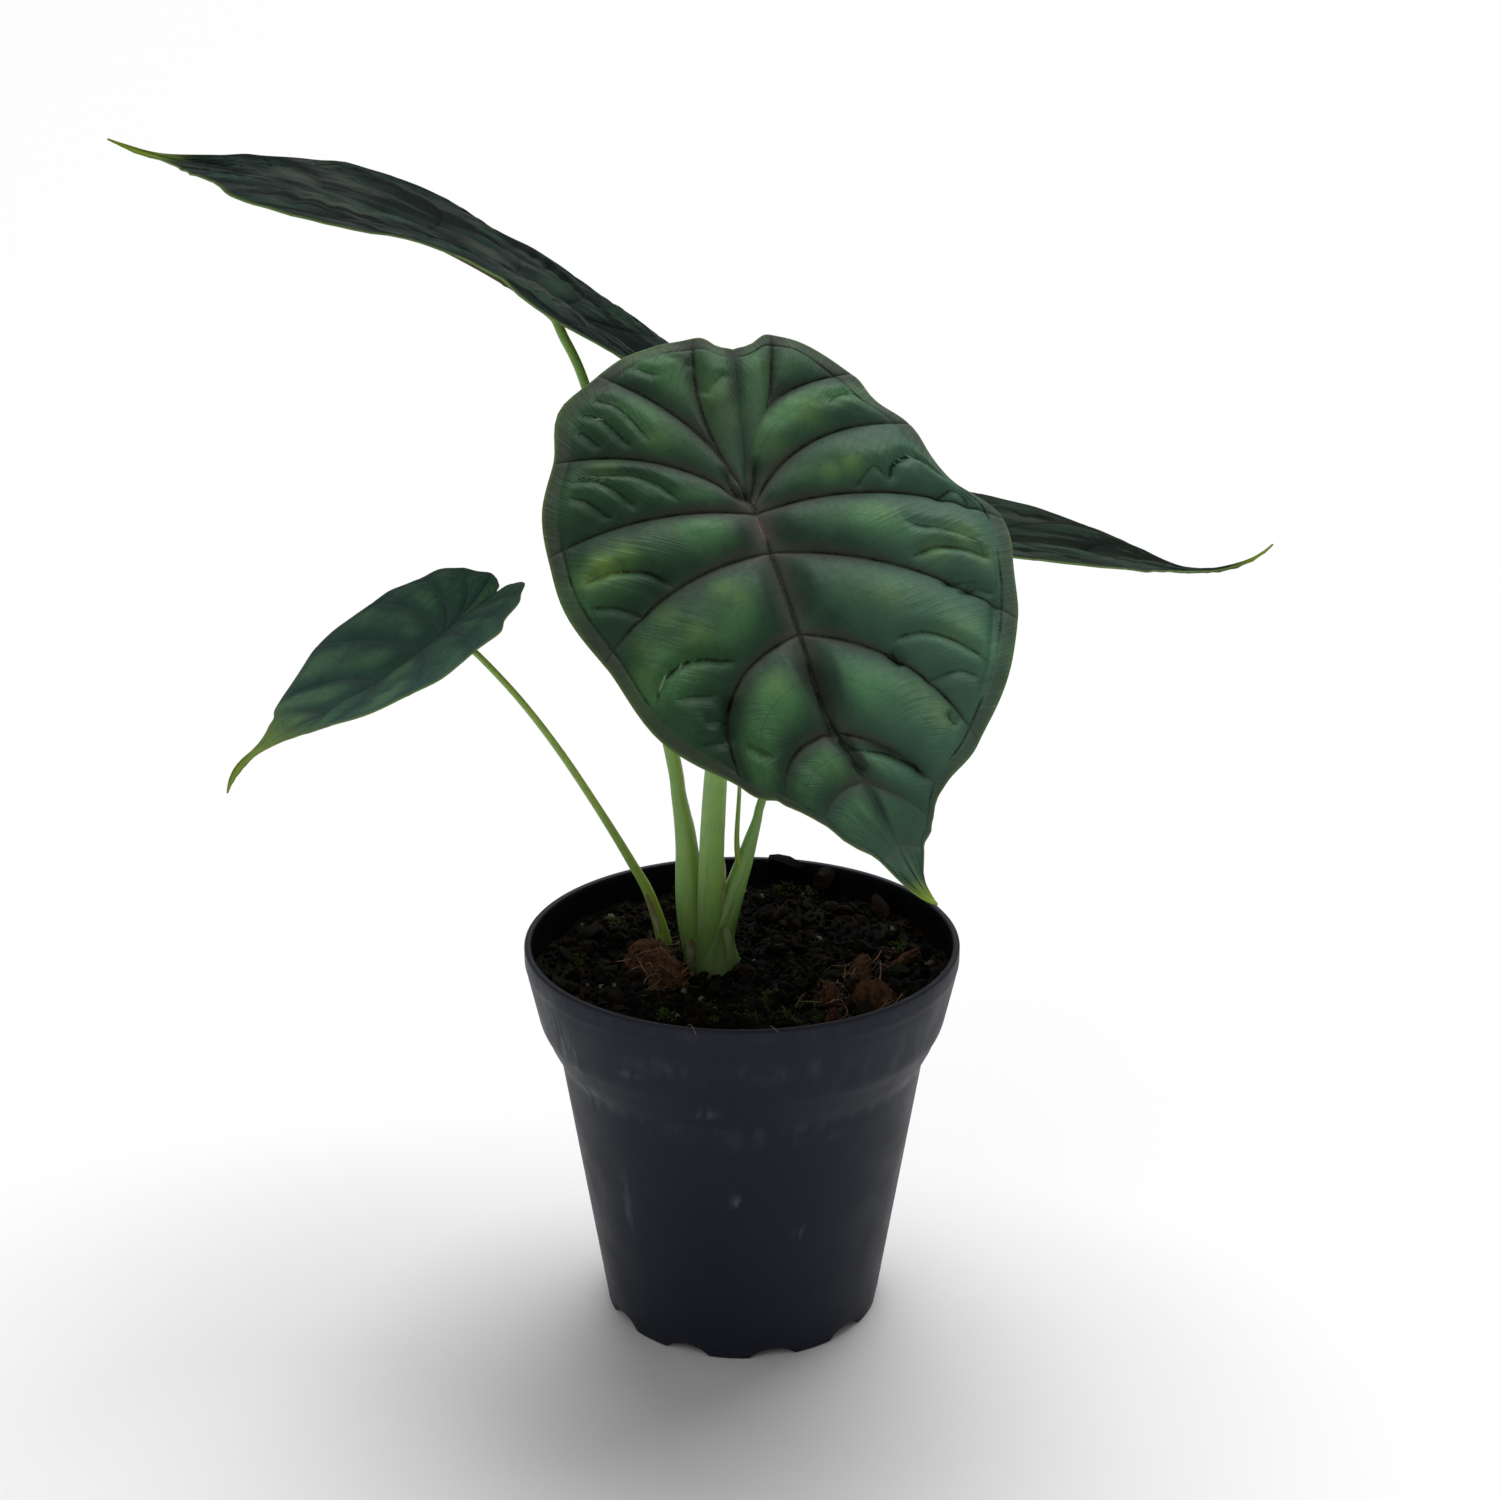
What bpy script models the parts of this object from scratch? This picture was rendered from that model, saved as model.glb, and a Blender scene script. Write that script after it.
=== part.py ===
"""Potted dragon scale alocasia: a young plant with four quilted leaves in a round nursery pot.

Metres, +Z up. The origin is the middle of the pot's foot, on the surface it stands on.
The side that the plant shows best faces -Y.
"""

import math

import bmesh
import bpy
import numpy as np

MM = 0.001
GAP = 0.3 * MM

# Pot, a thin moulded nursery pot 12 cm across the rim
POT_HEIGHT = 110 * MM
RIM_RADIUS = 60 * MM
RIM_LIP = 5.5 * MM
COLLAR_TOP_RADIUS = 59.3 * MM
COLLAR_FOOT_RADIUS = 56.5 * MM
COLLAR_FOOT_HEIGHT = 89.5 * MM
SHOULDER_HEIGHT = 76 * MM
BODY_TOP_RADIUS = 50.45 * MM
FOOT_RADIUS = 38.9 * MM
POT_WALL = 1.2 * MM
CHANNEL_INNER_RADIUS = 21 * MM
CHANNEL_HEIGHT = 3.2 * MM
POT_SEGMENTS = 40
ARCH_COUNT = 10
ARCH_WIDTH = 12 * MM
ARCH_HEIGHT = 2.6 * MM
FIRST_ARCH_DEG = 12.8
DRAIN_RADIUS = 3 * MM
DRAIN_RING_RADIUS = 30.5 * MM

# Potting mix, filled to a finger's width under the rim
SOIL_LEVEL = 100.5 * MM
SOIL_RINGS = 9
SOIL_LUMP = 1.5 * MM
CROWN_HOLE = (-7.6 * MM, 4.9 * MM, 9.4 * MM)
SIDE_HOLE = (-21.6 * MM, 16.6 * MM, 3.5 * MM)
HOLE_FLOOR = 82 * MM

# Where the clasping leaf bases end and the free stems begin
SHEATH_TOP = 143 * MM
STEM_SIDES = 10
STEM_STEP = 7 * MM

# A blade is drawn flat, hub at 0 and tip along +b, on a leaf 110 mm from hub to tip and 54 mm
# from midrib to margin, and is scaled from there.
DRAWN_LENGTH = 110.0
DRAWN_HALF = 54.0

# Where each side vein leaves the midrib, as a distance from the hub towards the tip
VEIN_STARTS = [-2.3, -1.0, 0.5, 3.0, 14.5, 37.5, 64.0, 77.5, 94.0]
HUB_BACK = -3.5

# Where each side vein meets the margin (across, along), and how far it bows towards the hub end
FRONT_RIGHT = [(23.3, -48.1, -1.8), (38.1, -30.6, 11.5), (46.2, -12.0, 7.6), (57.8, 20.6, 6), (49.5, 48.5, 5),
               (27.9, 75.9, 6.8), (15.0, 84.7, 2.7), (10.9, 91.0, 1), (6.3, 96.2, 0)]
FRONT_LEFT = [(-4.5, -53.1, -4.2), (22.2, -48.3, 5), (41.0, -26.2, 6), (50.7, -0.9, 4), (47.8, 31.0, 5),
              (28.1, 71.0, 9.7), (20.3, 77.5, 5), (13.5, 84.5, 2.5), (5.0, 96.5, 0)]
UPPER_RIGHT = [(10.6, -50.4, 2), (32.3, -38.0, 8), (60.2, -17.7, 7.5), (52.3, 12.9, 5), (63.7, 44.7, 5),
               (37.0, 76.2, 7.5), (24.5, 88.0, 4), (12.4, 96.2, 1), (3.0, 102.4, 0)]
UPPER_LEFT = [(11.6, -49.1, 2), (32.2, -40.1, 8), (51.7, -13.6, 7.5), (38.6, 10.7, 5), (29.0, 31.7, 5),
              (29.6, 58.4, 7.5), (14.5, 83.2, 4), (9.5, 92.2, 1), (0.9, 101.2, 0)]
EVEN_SIDE = [(11, -50, 2), (31, -42, 8), (45, -20, 7.5), (54, 8, 5), (51, 40, 5)]
SMALL_SIDE = [*EVEN_SIDE, (27.5, 70.5, 6.5), (16.2, 79.5, 3), (9, 87.5, 0.5), (4.2, 96, -0.5)]
THIN_SIDE = [*EVEN_SIDE, (30, 70, 7), (17.5, 81, 3), (9, 88.5, 0.5), (3.2, 96, -0.5)]

# How far the margin swells out between one vein and the next
FRONT_SWELLS = ([-1.6, 0.8, -1.9, -4.1, -1.2, 0.9, -0.6, 0, 0.9, -1.0],
                [-1.4, 0.7, 3.0, 0.5, 0.7, 3.8, -1.3, -0.1, 1.2, 0.2])
SMALL_SWELLS = ([2.5, 3.3, 2.4, 5.0, 2.8, 3.6, 0.4, 0.3, 0, 2.0],
                [2.4, -2.2, 2.7, 1.0, 0.2, -0.9, 0.6, 0.3, 0, 1.3])
EVEN_SWELLS = ([1, 1.5, 1.5, 1.5, 2, 2, 0.5, 0.3, 0, 0], [1, 1.5, 1.5, 1.5, 2, 2, 0.5, 0.3, 0, 0])

# Rows of faces in the panel after each vein, and the columns from midrib to margin
FINE_ROWS = [4, 3, 3, 4, 4, 5, 4, 2, 2, 3]
FINE_COLUMNS = [0, 0.07, 0.16, 0.3, 0.45, 0.6, 0.72, 0.8, 0.87, 0.94, 1]
COARSE_ROWS = [3, 2, 2, 3, 3, 3, 3, 1, 1, 2]
COARSE_COLUMNS = [0, 0.12, 0.3, 0.5, 0.7, 0.82, 0.91, 1]

# Where the tip's own turn begins (share of the length), where the narrowed neck and the drip tip
# begin and how far each runs (drawn millimetres), and where the vein inside the margin lies
FLICK_START = 0.72
NECK_START, NECK_RUN = 84.0, 12.0
DRIP_START, DRIP_RUN = 94.0, 16.0
INNER_MARGIN = 0.93

LEAVES = {
    "front": dict(
        hub=(2.7, -42.6, 242.7), heading=27.4, pitch=38.9, roll=12.6, length=110, half=55,
        bend=14, back=4, flick=-44.3, fold=4, skew=0, curl=-12, twist=0, mirror=1,
        midrib=[(-60, 0), (0, 0), (20, -1), (58, -3.5), (84, 0), (110, 1.1)], notch=(12.5, -46.4),
        right=FRONT_RIGHT, left=FRONT_LEFT, swells=FRONT_SWELLS, lobe=1, neck=0.9, drip=5.1,
        quilt=3.4, thickness=1.0, rows=FINE_ROWS, columns=FINE_COLUMNS),
    "upper_left": dict(
        hub=(-50.2, 57.8, 273.1), heading=-108.6, pitch=-31.1, roll=9.0, length=130.9, half=62,
        bend=29.4, back=7.0, flick=-12.8, fold=12.6, skew=5.9, curl=-16, twist=-19.4, mirror=1,
        midrib=[(-60, 0), (0, 0), (40, 1), (75, 1.2), (110, 1.5)], notch=(0, -38),
        right=UPPER_RIGHT, left=UPPER_LEFT, swells=EVEN_SWELLS, lobe=0.9, neck=0.95, drip=10,
        quilt=1.0, thickness=0.9, rows=COARSE_ROWS, columns=COARSE_COLUMNS),
    "right": dict(
        hub=(32.1, 21.6, 221.8), heading=93.5, pitch=6.4, roll=-6.4, length=106.4, half=49.2,
        bend=7, back=6.1, flick=-32.8, fold=6.5, skew=2, curl=-2, twist=2.7, mirror=-1,
        midrib=[(-60, 0), (0, 0), (40, 1), (75, 0), (110, -1)], notch=(0, -38),
        right=THIN_SIDE, left=THIN_SIDE, swells=EVEN_SWELLS, lobe=0.85, neck=0.6, drip=10,
        quilt=1.1, thickness=0.9, rows=COARSE_ROWS, columns=COARSE_COLUMNS),
    "lower_left": dict(
        hub=(-78.1, -1.9, 198.8), heading=-57.5, pitch=30, roll=1.9, length=68.3, half=33,
        bend=-16.5, back=1.7, flick=42, fold=12.3, skew=1.4, curl=-5.7, twist=1.7, mirror=1,
        midrib=[(-60, 0), (0, 0), (40, 1), (75, 0), (110, -1.5)], notch=(4.9, -34.4),
        right=SMALL_SIDE, left=SMALL_SIDE, swells=SMALL_SWELLS, lobe=0.67, neck=0.7, drip=7.2,
        quilt=0.7, thickness=0.8, rows=COARSE_ROWS, columns=COARSE_COLUMNS),
}

# Each stem from its root up to just short of its blade, as (x, y, z, radius) in millimetres
STEMS = {
    "upper_left": [(-11, 5.8, 92, 3.8), (-12.5, 6, 103, 4.1), (-14.5, 6.1, 117.4, 3.9), (-15.4, 6.7, 135.7, 3.0),
                   (-17.3, 7.3, 149, 2.1), (-19, 9.1, 160, 2.0), (-27.5, 16.6, 197.7, 1.8), (-34.8, 32.0, 229.9, 1.6),
                   (-43.6, 49.0, 255.3, 1.35)],
    "front": [(-8.6, 4.6, 92, 3.6), (-9, 3.4, 103, 3.6), (-8.8, 1.9, 120.4, 3.5), (-8.2, -0.7, 136.7, 3.4),
              (-7.4, -3.8, 153, 3.2), (-5.7, -9.1, 176.4, 2.8), (-3.5, -17.2, 201, 2.4), (-0.9, -28.2, 222.3, 2.0)],
    "right": [(-6.7, 5, 90, 6.6), (-6.9, 4.6, 98, 6.9), (-6.7, 4.3, 108, 4.7), (-3.1, 4, 119.4, 3.3),
              (0.6, 4.7, 130.6, 2.4), (2.4, 5.1, 136.7, 1.9), (4.1, 5.4, 142.5, 1.35), (5.5, 6.3, 148, 1.2),
              (13.1, 10.9, 169.4, 1.1), (21.2, 16.6, 190.5, 1.0), (27.9, 21.3, 208.9, 1.0)],
    "lower_left": [(-21.2, 17, 86, 2.3), (-21.9, 16.3, 100, 2.2), (-25.8, 13.5, 116.4, 1.6), (-30.9, 11.1, 128, 1.3),
                   (-39, 7.5, 144.3, 1.1), (-49.1, 2.7, 163.3, 1.0), (-59, -1.9, 179.5, 0.9), (-69.3, -4.4, 192.6, 0.85)],
}
SHEATHED = ["upper_left", "front", "right"]
SHOOT = [(-0.2, 3.8, 126.5, 1.2), (-1.4, 2.9, 136.7, 0.75), (-0.7, 2, 152, 0.55), (-0.3, 0.5, 167.3, 0.35)]
CORM = (-7, 5, 91, 7.6)


def clear_scene():
    for obj in list(bpy.data.objects):
        bpy.data.objects.remove(obj, do_unlink=True)


def make_material(name, colour, roughness):
    material = bpy.data.materials.new(name)
    material.use_nodes = True
    shader = material.node_tree.nodes["Principled BSDF"]
    shader.inputs["Base Color"].default_value = (*colour, 1)
    shader.inputs["Roughness"].default_value = roughness
    return material


def make_object(name, points, faces, material=None):
    """A closed mesh object from points in metres. Doubled points are joined and the faces point out."""
    mesh = bpy.data.meshes.new(name)
    mesh.from_pydata([tuple(point) for point in points], [], faces)
    work = bmesh.new()
    work.from_mesh(mesh)
    bmesh.ops.remove_doubles(work, verts=work.verts, dist=1e-6)
    bmesh.ops.recalc_face_normals(work, faces=work.faces)
    work.to_mesh(mesh)
    work.free()
    mesh.shade_smooth()
    mesh.set_sharp_from_angle(angle=math.radians(50))
    if material:
        mesh.materials.append(material)
    obj = bpy.data.objects.new(name, mesh)
    bpy.context.scene.collection.objects.link(obj)
    return obj


def loft(rings):
    """Points and triangles of a closed body through rings of points. A ring of one point is a pole."""
    points = np.vstack(rings)
    starts = np.cumsum([0] + [len(ring) for ring in rings])
    faces = []
    for low, high in zip(range(len(rings) - 1), range(1, len(rings))):
        count = max(len(rings[low]), len(rings[high]))
        for i in range(count):
            j = (i + 1) % count
            a, b = starts[low], starts[high]
            if len(rings[low]) == 1:
                faces.append((a, b + i, b + j))
            elif len(rings[high]) == 1:
                faces.append((a + i, a + j, b))
            else:
                faces += [(a + i, a + j, b + j), (a + i, b + j, b + i)]
    return points, faces


def circle(radius, height, segments, centre=(0, 0)):
    if radius == 0:
        return np.array([[centre[0], centre[1], height]])
    turn = np.linspace(0, 2 * math.pi, segments, endpoint=False)
    return np.stack([centre[0] + radius * np.cos(turn), centre[1] + radius * np.sin(turn),
                     np.full(segments, height)], axis=1)


def outer_profile():
    """The pot's outside from foot to rim, as (radius, height)."""
    return [
        (FOOT_RADIUS - 0.6 * MM, 0),
        (FOOT_RADIUS, 0.9 * MM),
        (BODY_TOP_RADIUS - 0.2 * MM, SHOULDER_HEIGHT - 2 * MM),
        (BODY_TOP_RADIUS + 0.3 * MM, SHOULDER_HEIGHT + 1 * MM),
        (BODY_TOP_RADIUS + 2.0 * MM, SHOULDER_HEIGHT + 4.2 * MM),
        (COLLAR_FOOT_RADIUS - 2.2 * MM, SHOULDER_HEIGHT + 8.4 * MM),
        (COLLAR_FOOT_RADIUS - 1.0 * MM, COLLAR_FOOT_HEIGHT - 3 * MM),
        (COLLAR_FOOT_RADIUS, COLLAR_FOOT_HEIGHT),
        (COLLAR_TOP_RADIUS, POT_HEIGHT - RIM_LIP - 2.2 * MM),
        (RIM_RADIUS - 0.3 * MM, POT_HEIGHT - RIM_LIP),
        (RIM_RADIUS, POT_HEIGHT - RIM_LIP + 1 * MM),
        (RIM_RADIUS, POT_HEIGHT - 0.6 * MM),
        (RIM_RADIUS - 0.4 * MM, POT_HEIGHT),
    ]


def inner_radius(height):
    """The radius of the pot's inner wall at a height: one wall inside its outer profile."""
    profile = outer_profile()
    heights = [z for _, z in profile]
    radii = [min(r, COLLAR_TOP_RADIUS - 0.2 * MM) for r, _ in profile]
    return np.interp(height, heights, radii) - POT_WALL


def drain_cutters():
    """Ten arches through the skirt at the foot, and ten round holes through the raised channel behind them."""
    arch_start = FOOT_RADIUS - 3 * MM
    arch_end = FOOT_RADIUS + 2 * MM
    points, faces = [], []
    for index in range(ARCH_COUNT):
        turn = math.radians(FIRST_ARCH_DEG - 90 + index * 360 / ARCH_COUNT)
        outward = np.array([math.cos(turn), math.sin(turn), 0])
        sideways = np.array([-math.sin(turn), math.cos(turn), 0])
        oval = np.array([[math.cos(a) * ARCH_WIDTH / 2, math.sin(a) * ARCH_HEIGHT]
                         for a in np.linspace(0, 2 * math.pi, 16, endpoint=False)])
        arch = [oval[:, :1] * sideways + oval[:, 1:] * np.array([0, 0, 1]) + outward * r
                for r in (arch_start, arch_end)]
        centre = outward[:2] * DRAIN_RING_RADIUS
        bore = [circle(DRAIN_RADIUS, z, 10, centre) for z in (CHANNEL_HEIGHT - 1 * MM, CHANNEL_HEIGHT + 3 * MM)]
        for ends in (arch, bore):
            rings = [ends[0].mean(0, keepdims=True), ends[0], ends[1], ends[1].mean(0, keepdims=True)]
            body, body_faces = loft(rings)
            faces += [tuple(i + sum(map(len, points)) for i in face) for face in body_faces]
            points.append(body)
    cutters = make_object("drain_cutters", np.vstack(points), faces)
    cutters.hide_render = True
    cutters.display_type = "WIRE"
    return cutters


def make_pot(material):
    """One moulded wall: a raised drainage channel round a flat middle, a tapered body and a stepped collar."""
    floor = CHANNEL_HEIGHT + POT_WALL
    under = [(0, 0), (CHANNEL_INNER_RADIUS - 0.6 * MM, 0), (CHANNEL_INNER_RADIUS, CHANNEL_HEIGHT),
             (FOOT_RADIUS - POT_WALL - 0.3 * MM, CHANNEL_HEIGHT), (FOOT_RADIUS - POT_WALL - 0.5 * MM, 0)]
    inner_heights = [POT_HEIGHT, POT_HEIGHT - RIM_LIP - 2.2 * MM, COLLAR_FOOT_HEIGHT, SHOULDER_HEIGHT + 8.4 * MM,
                     SHOULDER_HEIGHT + 1 * MM, floor]
    inside = [(inner_radius(z), z) for z in inner_heights]
    inside += [(CHANNEL_INNER_RADIUS - POT_WALL + 0.4 * MM, floor),
               (CHANNEL_INNER_RADIUS - POT_WALL - 0.4 * MM, POT_WALL), (0, POT_WALL)]
    rings = [circle(r, z, POT_SEGMENTS) for r, z in under + outer_profile() + inside]
    pot = make_object("pot", *loft(rings), material)
    cut = pot.modifiers.new("drainage", "BOOLEAN")
    cut.operation = "DIFFERENCE"
    cut.object = drain_cutters()
    return pot


def soil_height(x, y):
    """The top of the potting mix: shallow lumps, a little lower round the crown and higher at the back."""
    lumps = (np.sin(x / (9 * MM) + 1.3) * np.cos(y / (7 * MM) - 0.4)
             + 0.7 * np.sin(x / (4.3 * MM) - y / (5.1 * MM) + 2.0)
             + 0.5 * np.cos(x / (3.1 * MM) + y / (3.7 * MM)))
    crown_dip = 2.6 * MM * np.exp(-((x - CROWN_HOLE[0]) ** 2 + (y - CROWN_HOLE[1]) ** 2) / (15 * MM) ** 2)
    return SOIL_LEVEL + SOIL_LUMP * lumps / 1.6 - crown_dip + y * 0.03


def make_potting_mix(material):
    """Fills the pot down to its floor, with plain holes where the crown and the side stem stand."""
    floor = CHANNEL_HEIGHT + POT_WALL + GAP
    middle = CHANNEL_INNER_RADIUS - POT_WALL - 1.2 * MM
    rings = [circle(0, POT_WALL + GAP, POT_SEGMENTS), circle(middle, POT_WALL + GAP, POT_SEGMENTS),
             circle(middle + 0.8 * MM, floor, POT_SEGMENTS)]
    heights = [floor, SHOULDER_HEIGHT + 0.5 * MM, SHOULDER_HEIGHT + 8.4 * MM, COLLAR_FOOT_HEIGHT]
    rings += [circle(inner_radius(z) - 2 * GAP, z, POT_SEGMENTS) for z in heights]
    top_radius = inner_radius(SOIL_LEVEL) - 2 * GAP
    for share in np.linspace(1, 0, SOIL_RINGS):
        ring = circle(top_radius * share, SOIL_LEVEL, POT_SEGMENTS)
        ring[:, 2] = soil_height(ring[:, 0], ring[:, 1])
        rings.append(ring)
    mix = make_object("potting_mix", *loft(rings), material)
    for label, (x, y, radius) in (("crown", CROWN_HOLE), ("side_stem", SIDE_HOLE)):
        ends = [circle(radius, z, 20, (x, y)) for z in (HOLE_FLOOR, POT_HEIGHT)]
        points, faces = loft([circle(0, HOLE_FLOOR, 1, (x, y)), *ends, circle(0, POT_HEIGHT, 1, (x, y))])
        cutter = make_object(label + "_hole_cutter", points, faces)
        cutter.hide_render = True
        cutter.display_type = "WIRE"
        cut = mix.modifiers.new(label + "_hole", "BOOLEAN")
        cut.operation = "DIFFERENCE"
        cut.object = cutter
    return mix


def smooth_step(value, low, high):
    share = np.clip((value - low) / (high - low), 0, 1)
    return share * share * (3 - 2 * share)


def leaf_axes(leaf):
    """Unit vectors at the hub: along the midrib, across the blade, and out of its upper face."""
    heading, pitch, roll = (math.radians(leaf[key]) for key in ("heading", "pitch", "roll"))
    along = np.array([math.sin(heading) * math.cos(pitch), -math.cos(heading) * math.cos(pitch), -math.sin(pitch)])
    up = np.array([math.sin(heading) * math.sin(pitch), -math.cos(heading) * math.sin(pitch), math.cos(pitch)])
    across = np.cross(up, along)
    return (along, across * math.cos(roll) + up * math.sin(roll), up * math.cos(roll) - across * math.sin(roll))


def bent_blade(leaf, a, b, middle):
    """Places flat points (a across, b along, metres) on the bent blade. middle is the midrib's own a.

    The midrib turns down by bend towards the tip, and by flick in the last quarter. Each half leaves
    it at the angle fold (more on one side by skew) and turns by curl out to the margin, and the whole
    section turns by twist from hub to tip.
    """
    along, across, up = leaf_axes(leaf)
    length, half = leaf["length"] * MM, leaf["half"] * MM
    share = np.linspace(-0.7, 1.3, 401)
    slope = np.where(share > 0, leaf["bend"] * share, leaf["back"] * share)
    slope = np.radians(slope + leaf["flick"] * np.clip((share - FLICK_START) / (1 - FLICK_START), 0, None) ** 2)
    step = (share[1] - share[0]) * length
    run = np.concatenate([[0], np.cumsum((np.cos(slope[1:]) + np.cos(slope[:-1])) / 2 * step)])
    rise = np.concatenate([[0], np.cumsum(-(np.sin(slope[1:]) + np.sin(slope[:-1])) / 2 * step)])
    run -= np.interp(0, share, run)
    rise -= np.interp(0, share, rise)
    at = b / length
    tilt = np.interp(at, share, slope)
    turn = np.radians(leaf["twist"]) * np.maximum(at, 0)
    fold = np.radians(leaf["fold"] + leaf["skew"] * np.sign(a - middle))
    curl = math.radians(leaf["curl"])
    out = np.abs(a) / half
    side = half * (np.sin(fold + curl * out) - np.sin(fold)) / curl * np.sign(a)
    lift = -half * (np.cos(fold + curl * out) - np.cos(fold)) / curl
    lift += np.sin(fold) * (np.abs(a - middle) - np.abs(a))
    side, lift = side * np.cos(turn) - lift * np.sin(turn), side * np.sin(turn) + lift * np.cos(turn)
    local_up = np.sin(tilt)[..., None] * along + np.cos(tilt)[..., None] * up
    spine = np.interp(at, share, run)[..., None] * along + np.interp(at, share, rise)[..., None] * up
    return np.array(leaf["hub"]) * MM + spine + side[..., None] * across + lift[..., None] * local_up


def drawn_side(leaf, side):
    """Flat grid of one half of the drawn blade, from the notch at its back round to its tip.

    Every vein is an arc from the midrib to the margin. The rows between two veins run on a smooth
    curve through the four nearest veins, and the margin swells between them. Also returned for each
    point are the midrib's own a, its share of the way from one vein to the next and the panel's width.
    """
    sign = 1 if side == "right" else -1
    ends = leaf[side]
    swells = leaf["swells"][0 if side == "right" else 1]
    line = np.array(leaf["midrib"], float)
    out = np.array(leaf["columns"], float)[:, None]

    def midrib(b):
        return np.array([np.interp(b, line[:, 0], line[:, 1]) * sign, b])

    notch = np.array([leaf["notch"][0] * sign, leaf["notch"][1]])
    veins = [midrib(HUB_BACK) + (notch - midrib(HUB_BACK)) * out]
    for start, (end_a, end_b, bow) in zip(VEIN_STARTS, ends):
        chord = np.array([end_a, end_b], float) - midrib(start)
        square = np.array([-chord[1], chord[0]]) / np.hypot(*chord)
        veins.append(midrib(start) + chord * out - bow * 4 * out * (1 - out) * square)
    veins.append(np.repeat(midrib(DRAWN_LENGTH)[None], len(out), 0))
    veins = np.array(veins)
    ring = np.concatenate([[2 * veins[0] - veins[1]], veins, [2 * veins[-1] - veins[-2]]])
    blend = smooth_step(out, 0, 0.35)
    grid, shares, widths = [], [], []
    for panel, rows in enumerate(leaf["rows"]):
        before, this, after, last = ring[panel:panel + 4]
        chord = after[-1] - this[-1]
        outward = np.array([chord[1], -chord[0]]) / max(np.hypot(*chord), 1e-6)
        for row in range(rows):
            f = row / rows
            curve = 0.5 * (2 * this + (after - before) * f + (2 * before - 5 * this + 4 * after - last) * f ** 2
                           + (3 * this - before - 3 * after + last) * f ** 3)
            line_between = this * (1 - f) + after * f
            swell = swells[panel] * math.sin(math.pi * f) ** 2 * out ** 3 * outward
            grid.append(curve * blend + line_between * (1 - blend) + swell)
            shares.append(np.full(len(out), f))
            widths.append(np.hypot(*(after - this).T))
    grid.append(veins[-1])
    shares.append(np.zeros(len(out)))
    widths.append(np.zeros(len(out)))
    grid = np.array(grid)
    grid[..., 0] *= sign
    a, b = grid[..., 0], grid[..., 1]
    middle = np.interp(b, line[:, 0], line[:, 1])
    narrowed = middle + (a - middle) * (1 - (1 - leaf["neck"]) * np.clip((b - NECK_START) / NECK_RUN, 0, 1))
    lengthened = np.where(b < 0, b * leaf["lobe"], b) + leaf["drip"] * np.clip((b - DRIP_START) / DRIP_RUN, 0, 1)
    return narrowed, lengthened, middle, np.array(shares), np.array(widths)


def quilting(leaf, b, share, width):
    """Height of the raised panels: rounded between the sunken veins, low near the midrib, fading out
    towards the margin and low on the narrow end of the blade."""
    out = np.array(leaf["columns"])
    panel = np.sin(np.pi * share) ** 0.9 * np.minimum(1, width / 22)
    panel *= smooth_step(out, 0, 0.14) * (1 - smooth_step(out, INNER_MARGIN - 0.13, 1.0))
    return panel * (1 - 0.88 * smooth_step(b, 74, 92)) * leaf["quilt"] * MM


def blade_mesh(leaf):
    """Both faces of a blade, split into triangles alike, joined by a strip along the margin."""
    scale_a = leaf["mirror"] * leaf["half"] * MM / DRAWN_HALF
    scale_b = leaf["length"] * MM / DRAWN_LENGTH
    nudge = 0.05 * MM
    points, faces = [], []
    for side in ("right", "left"):
        a, b, middle, share, width = drawn_side(leaf, side)
        raised = quilting(leaf, b, share, width)
        a, b, middle = a * scale_a, b * scale_b, middle * scale_a
        rise_a = bent_blade(leaf, a + nudge, b, middle) - bent_blade(leaf, a - nudge, b, middle)
        rise_b = bent_blade(leaf, a, b + nudge, middle) - bent_blade(leaf, a, b - nudge, middle)
        normal = np.cross(rise_b, rise_a)
        normal /= np.linalg.norm(normal, axis=-1, keepdims=True)
        upper = bent_blade(leaf, a, b, middle) + normal * raised[..., None]
        lower = upper - normal * leaf["thickness"] * MM
        rows, columns = a.shape
        first = sum(map(len, points))
        points += [upper.reshape(-1, 3), lower.reshape(-1, 3)]
        under = first + rows * columns
        for r in range(rows - 1):
            for c in range(columns - 1):
                i = r * columns + c
                corners = [(i, i + 1, i + columns + 1), (i, i + columns + 1, i + columns)]
                faces += [tuple(first + n for n in face) for face in corners]
                faces += [tuple(under + n for n in face[::-1]) for face in corners]
            i, j = r * columns + columns - 1, (r + 1) * columns + columns - 1
            faces += [(first + i, under + i, under + j), (first + i, under + j, first + j)]
    return np.vstack(points), faces


def smooth_path(knots):
    """(x, y, z, radius) rows in metres along a smooth curve through the knots, evenly spaced."""
    knots = np.array(knots, float) * MM
    ring = np.vstack([2 * knots[0] - knots[1], knots, 2 * knots[-1] - knots[-2]])
    dense = []
    for before, this, after, last in zip(ring, ring[1:], ring[2:], ring[3:]):
        for f in np.linspace(0, 1, 24, endpoint=False):
            dense.append(0.5 * (2 * this + (after - before) * f + (2 * before - 5 * this + 4 * after - last) * f ** 2
                                + (3 * this - before - 3 * after + last) * f ** 3))
    dense.append(knots[-1])
    dense = np.array(dense)
    return dense, np.concatenate([[0], np.cumsum(np.linalg.norm(np.diff(dense[:, :3], axis=0), axis=1))])


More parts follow.
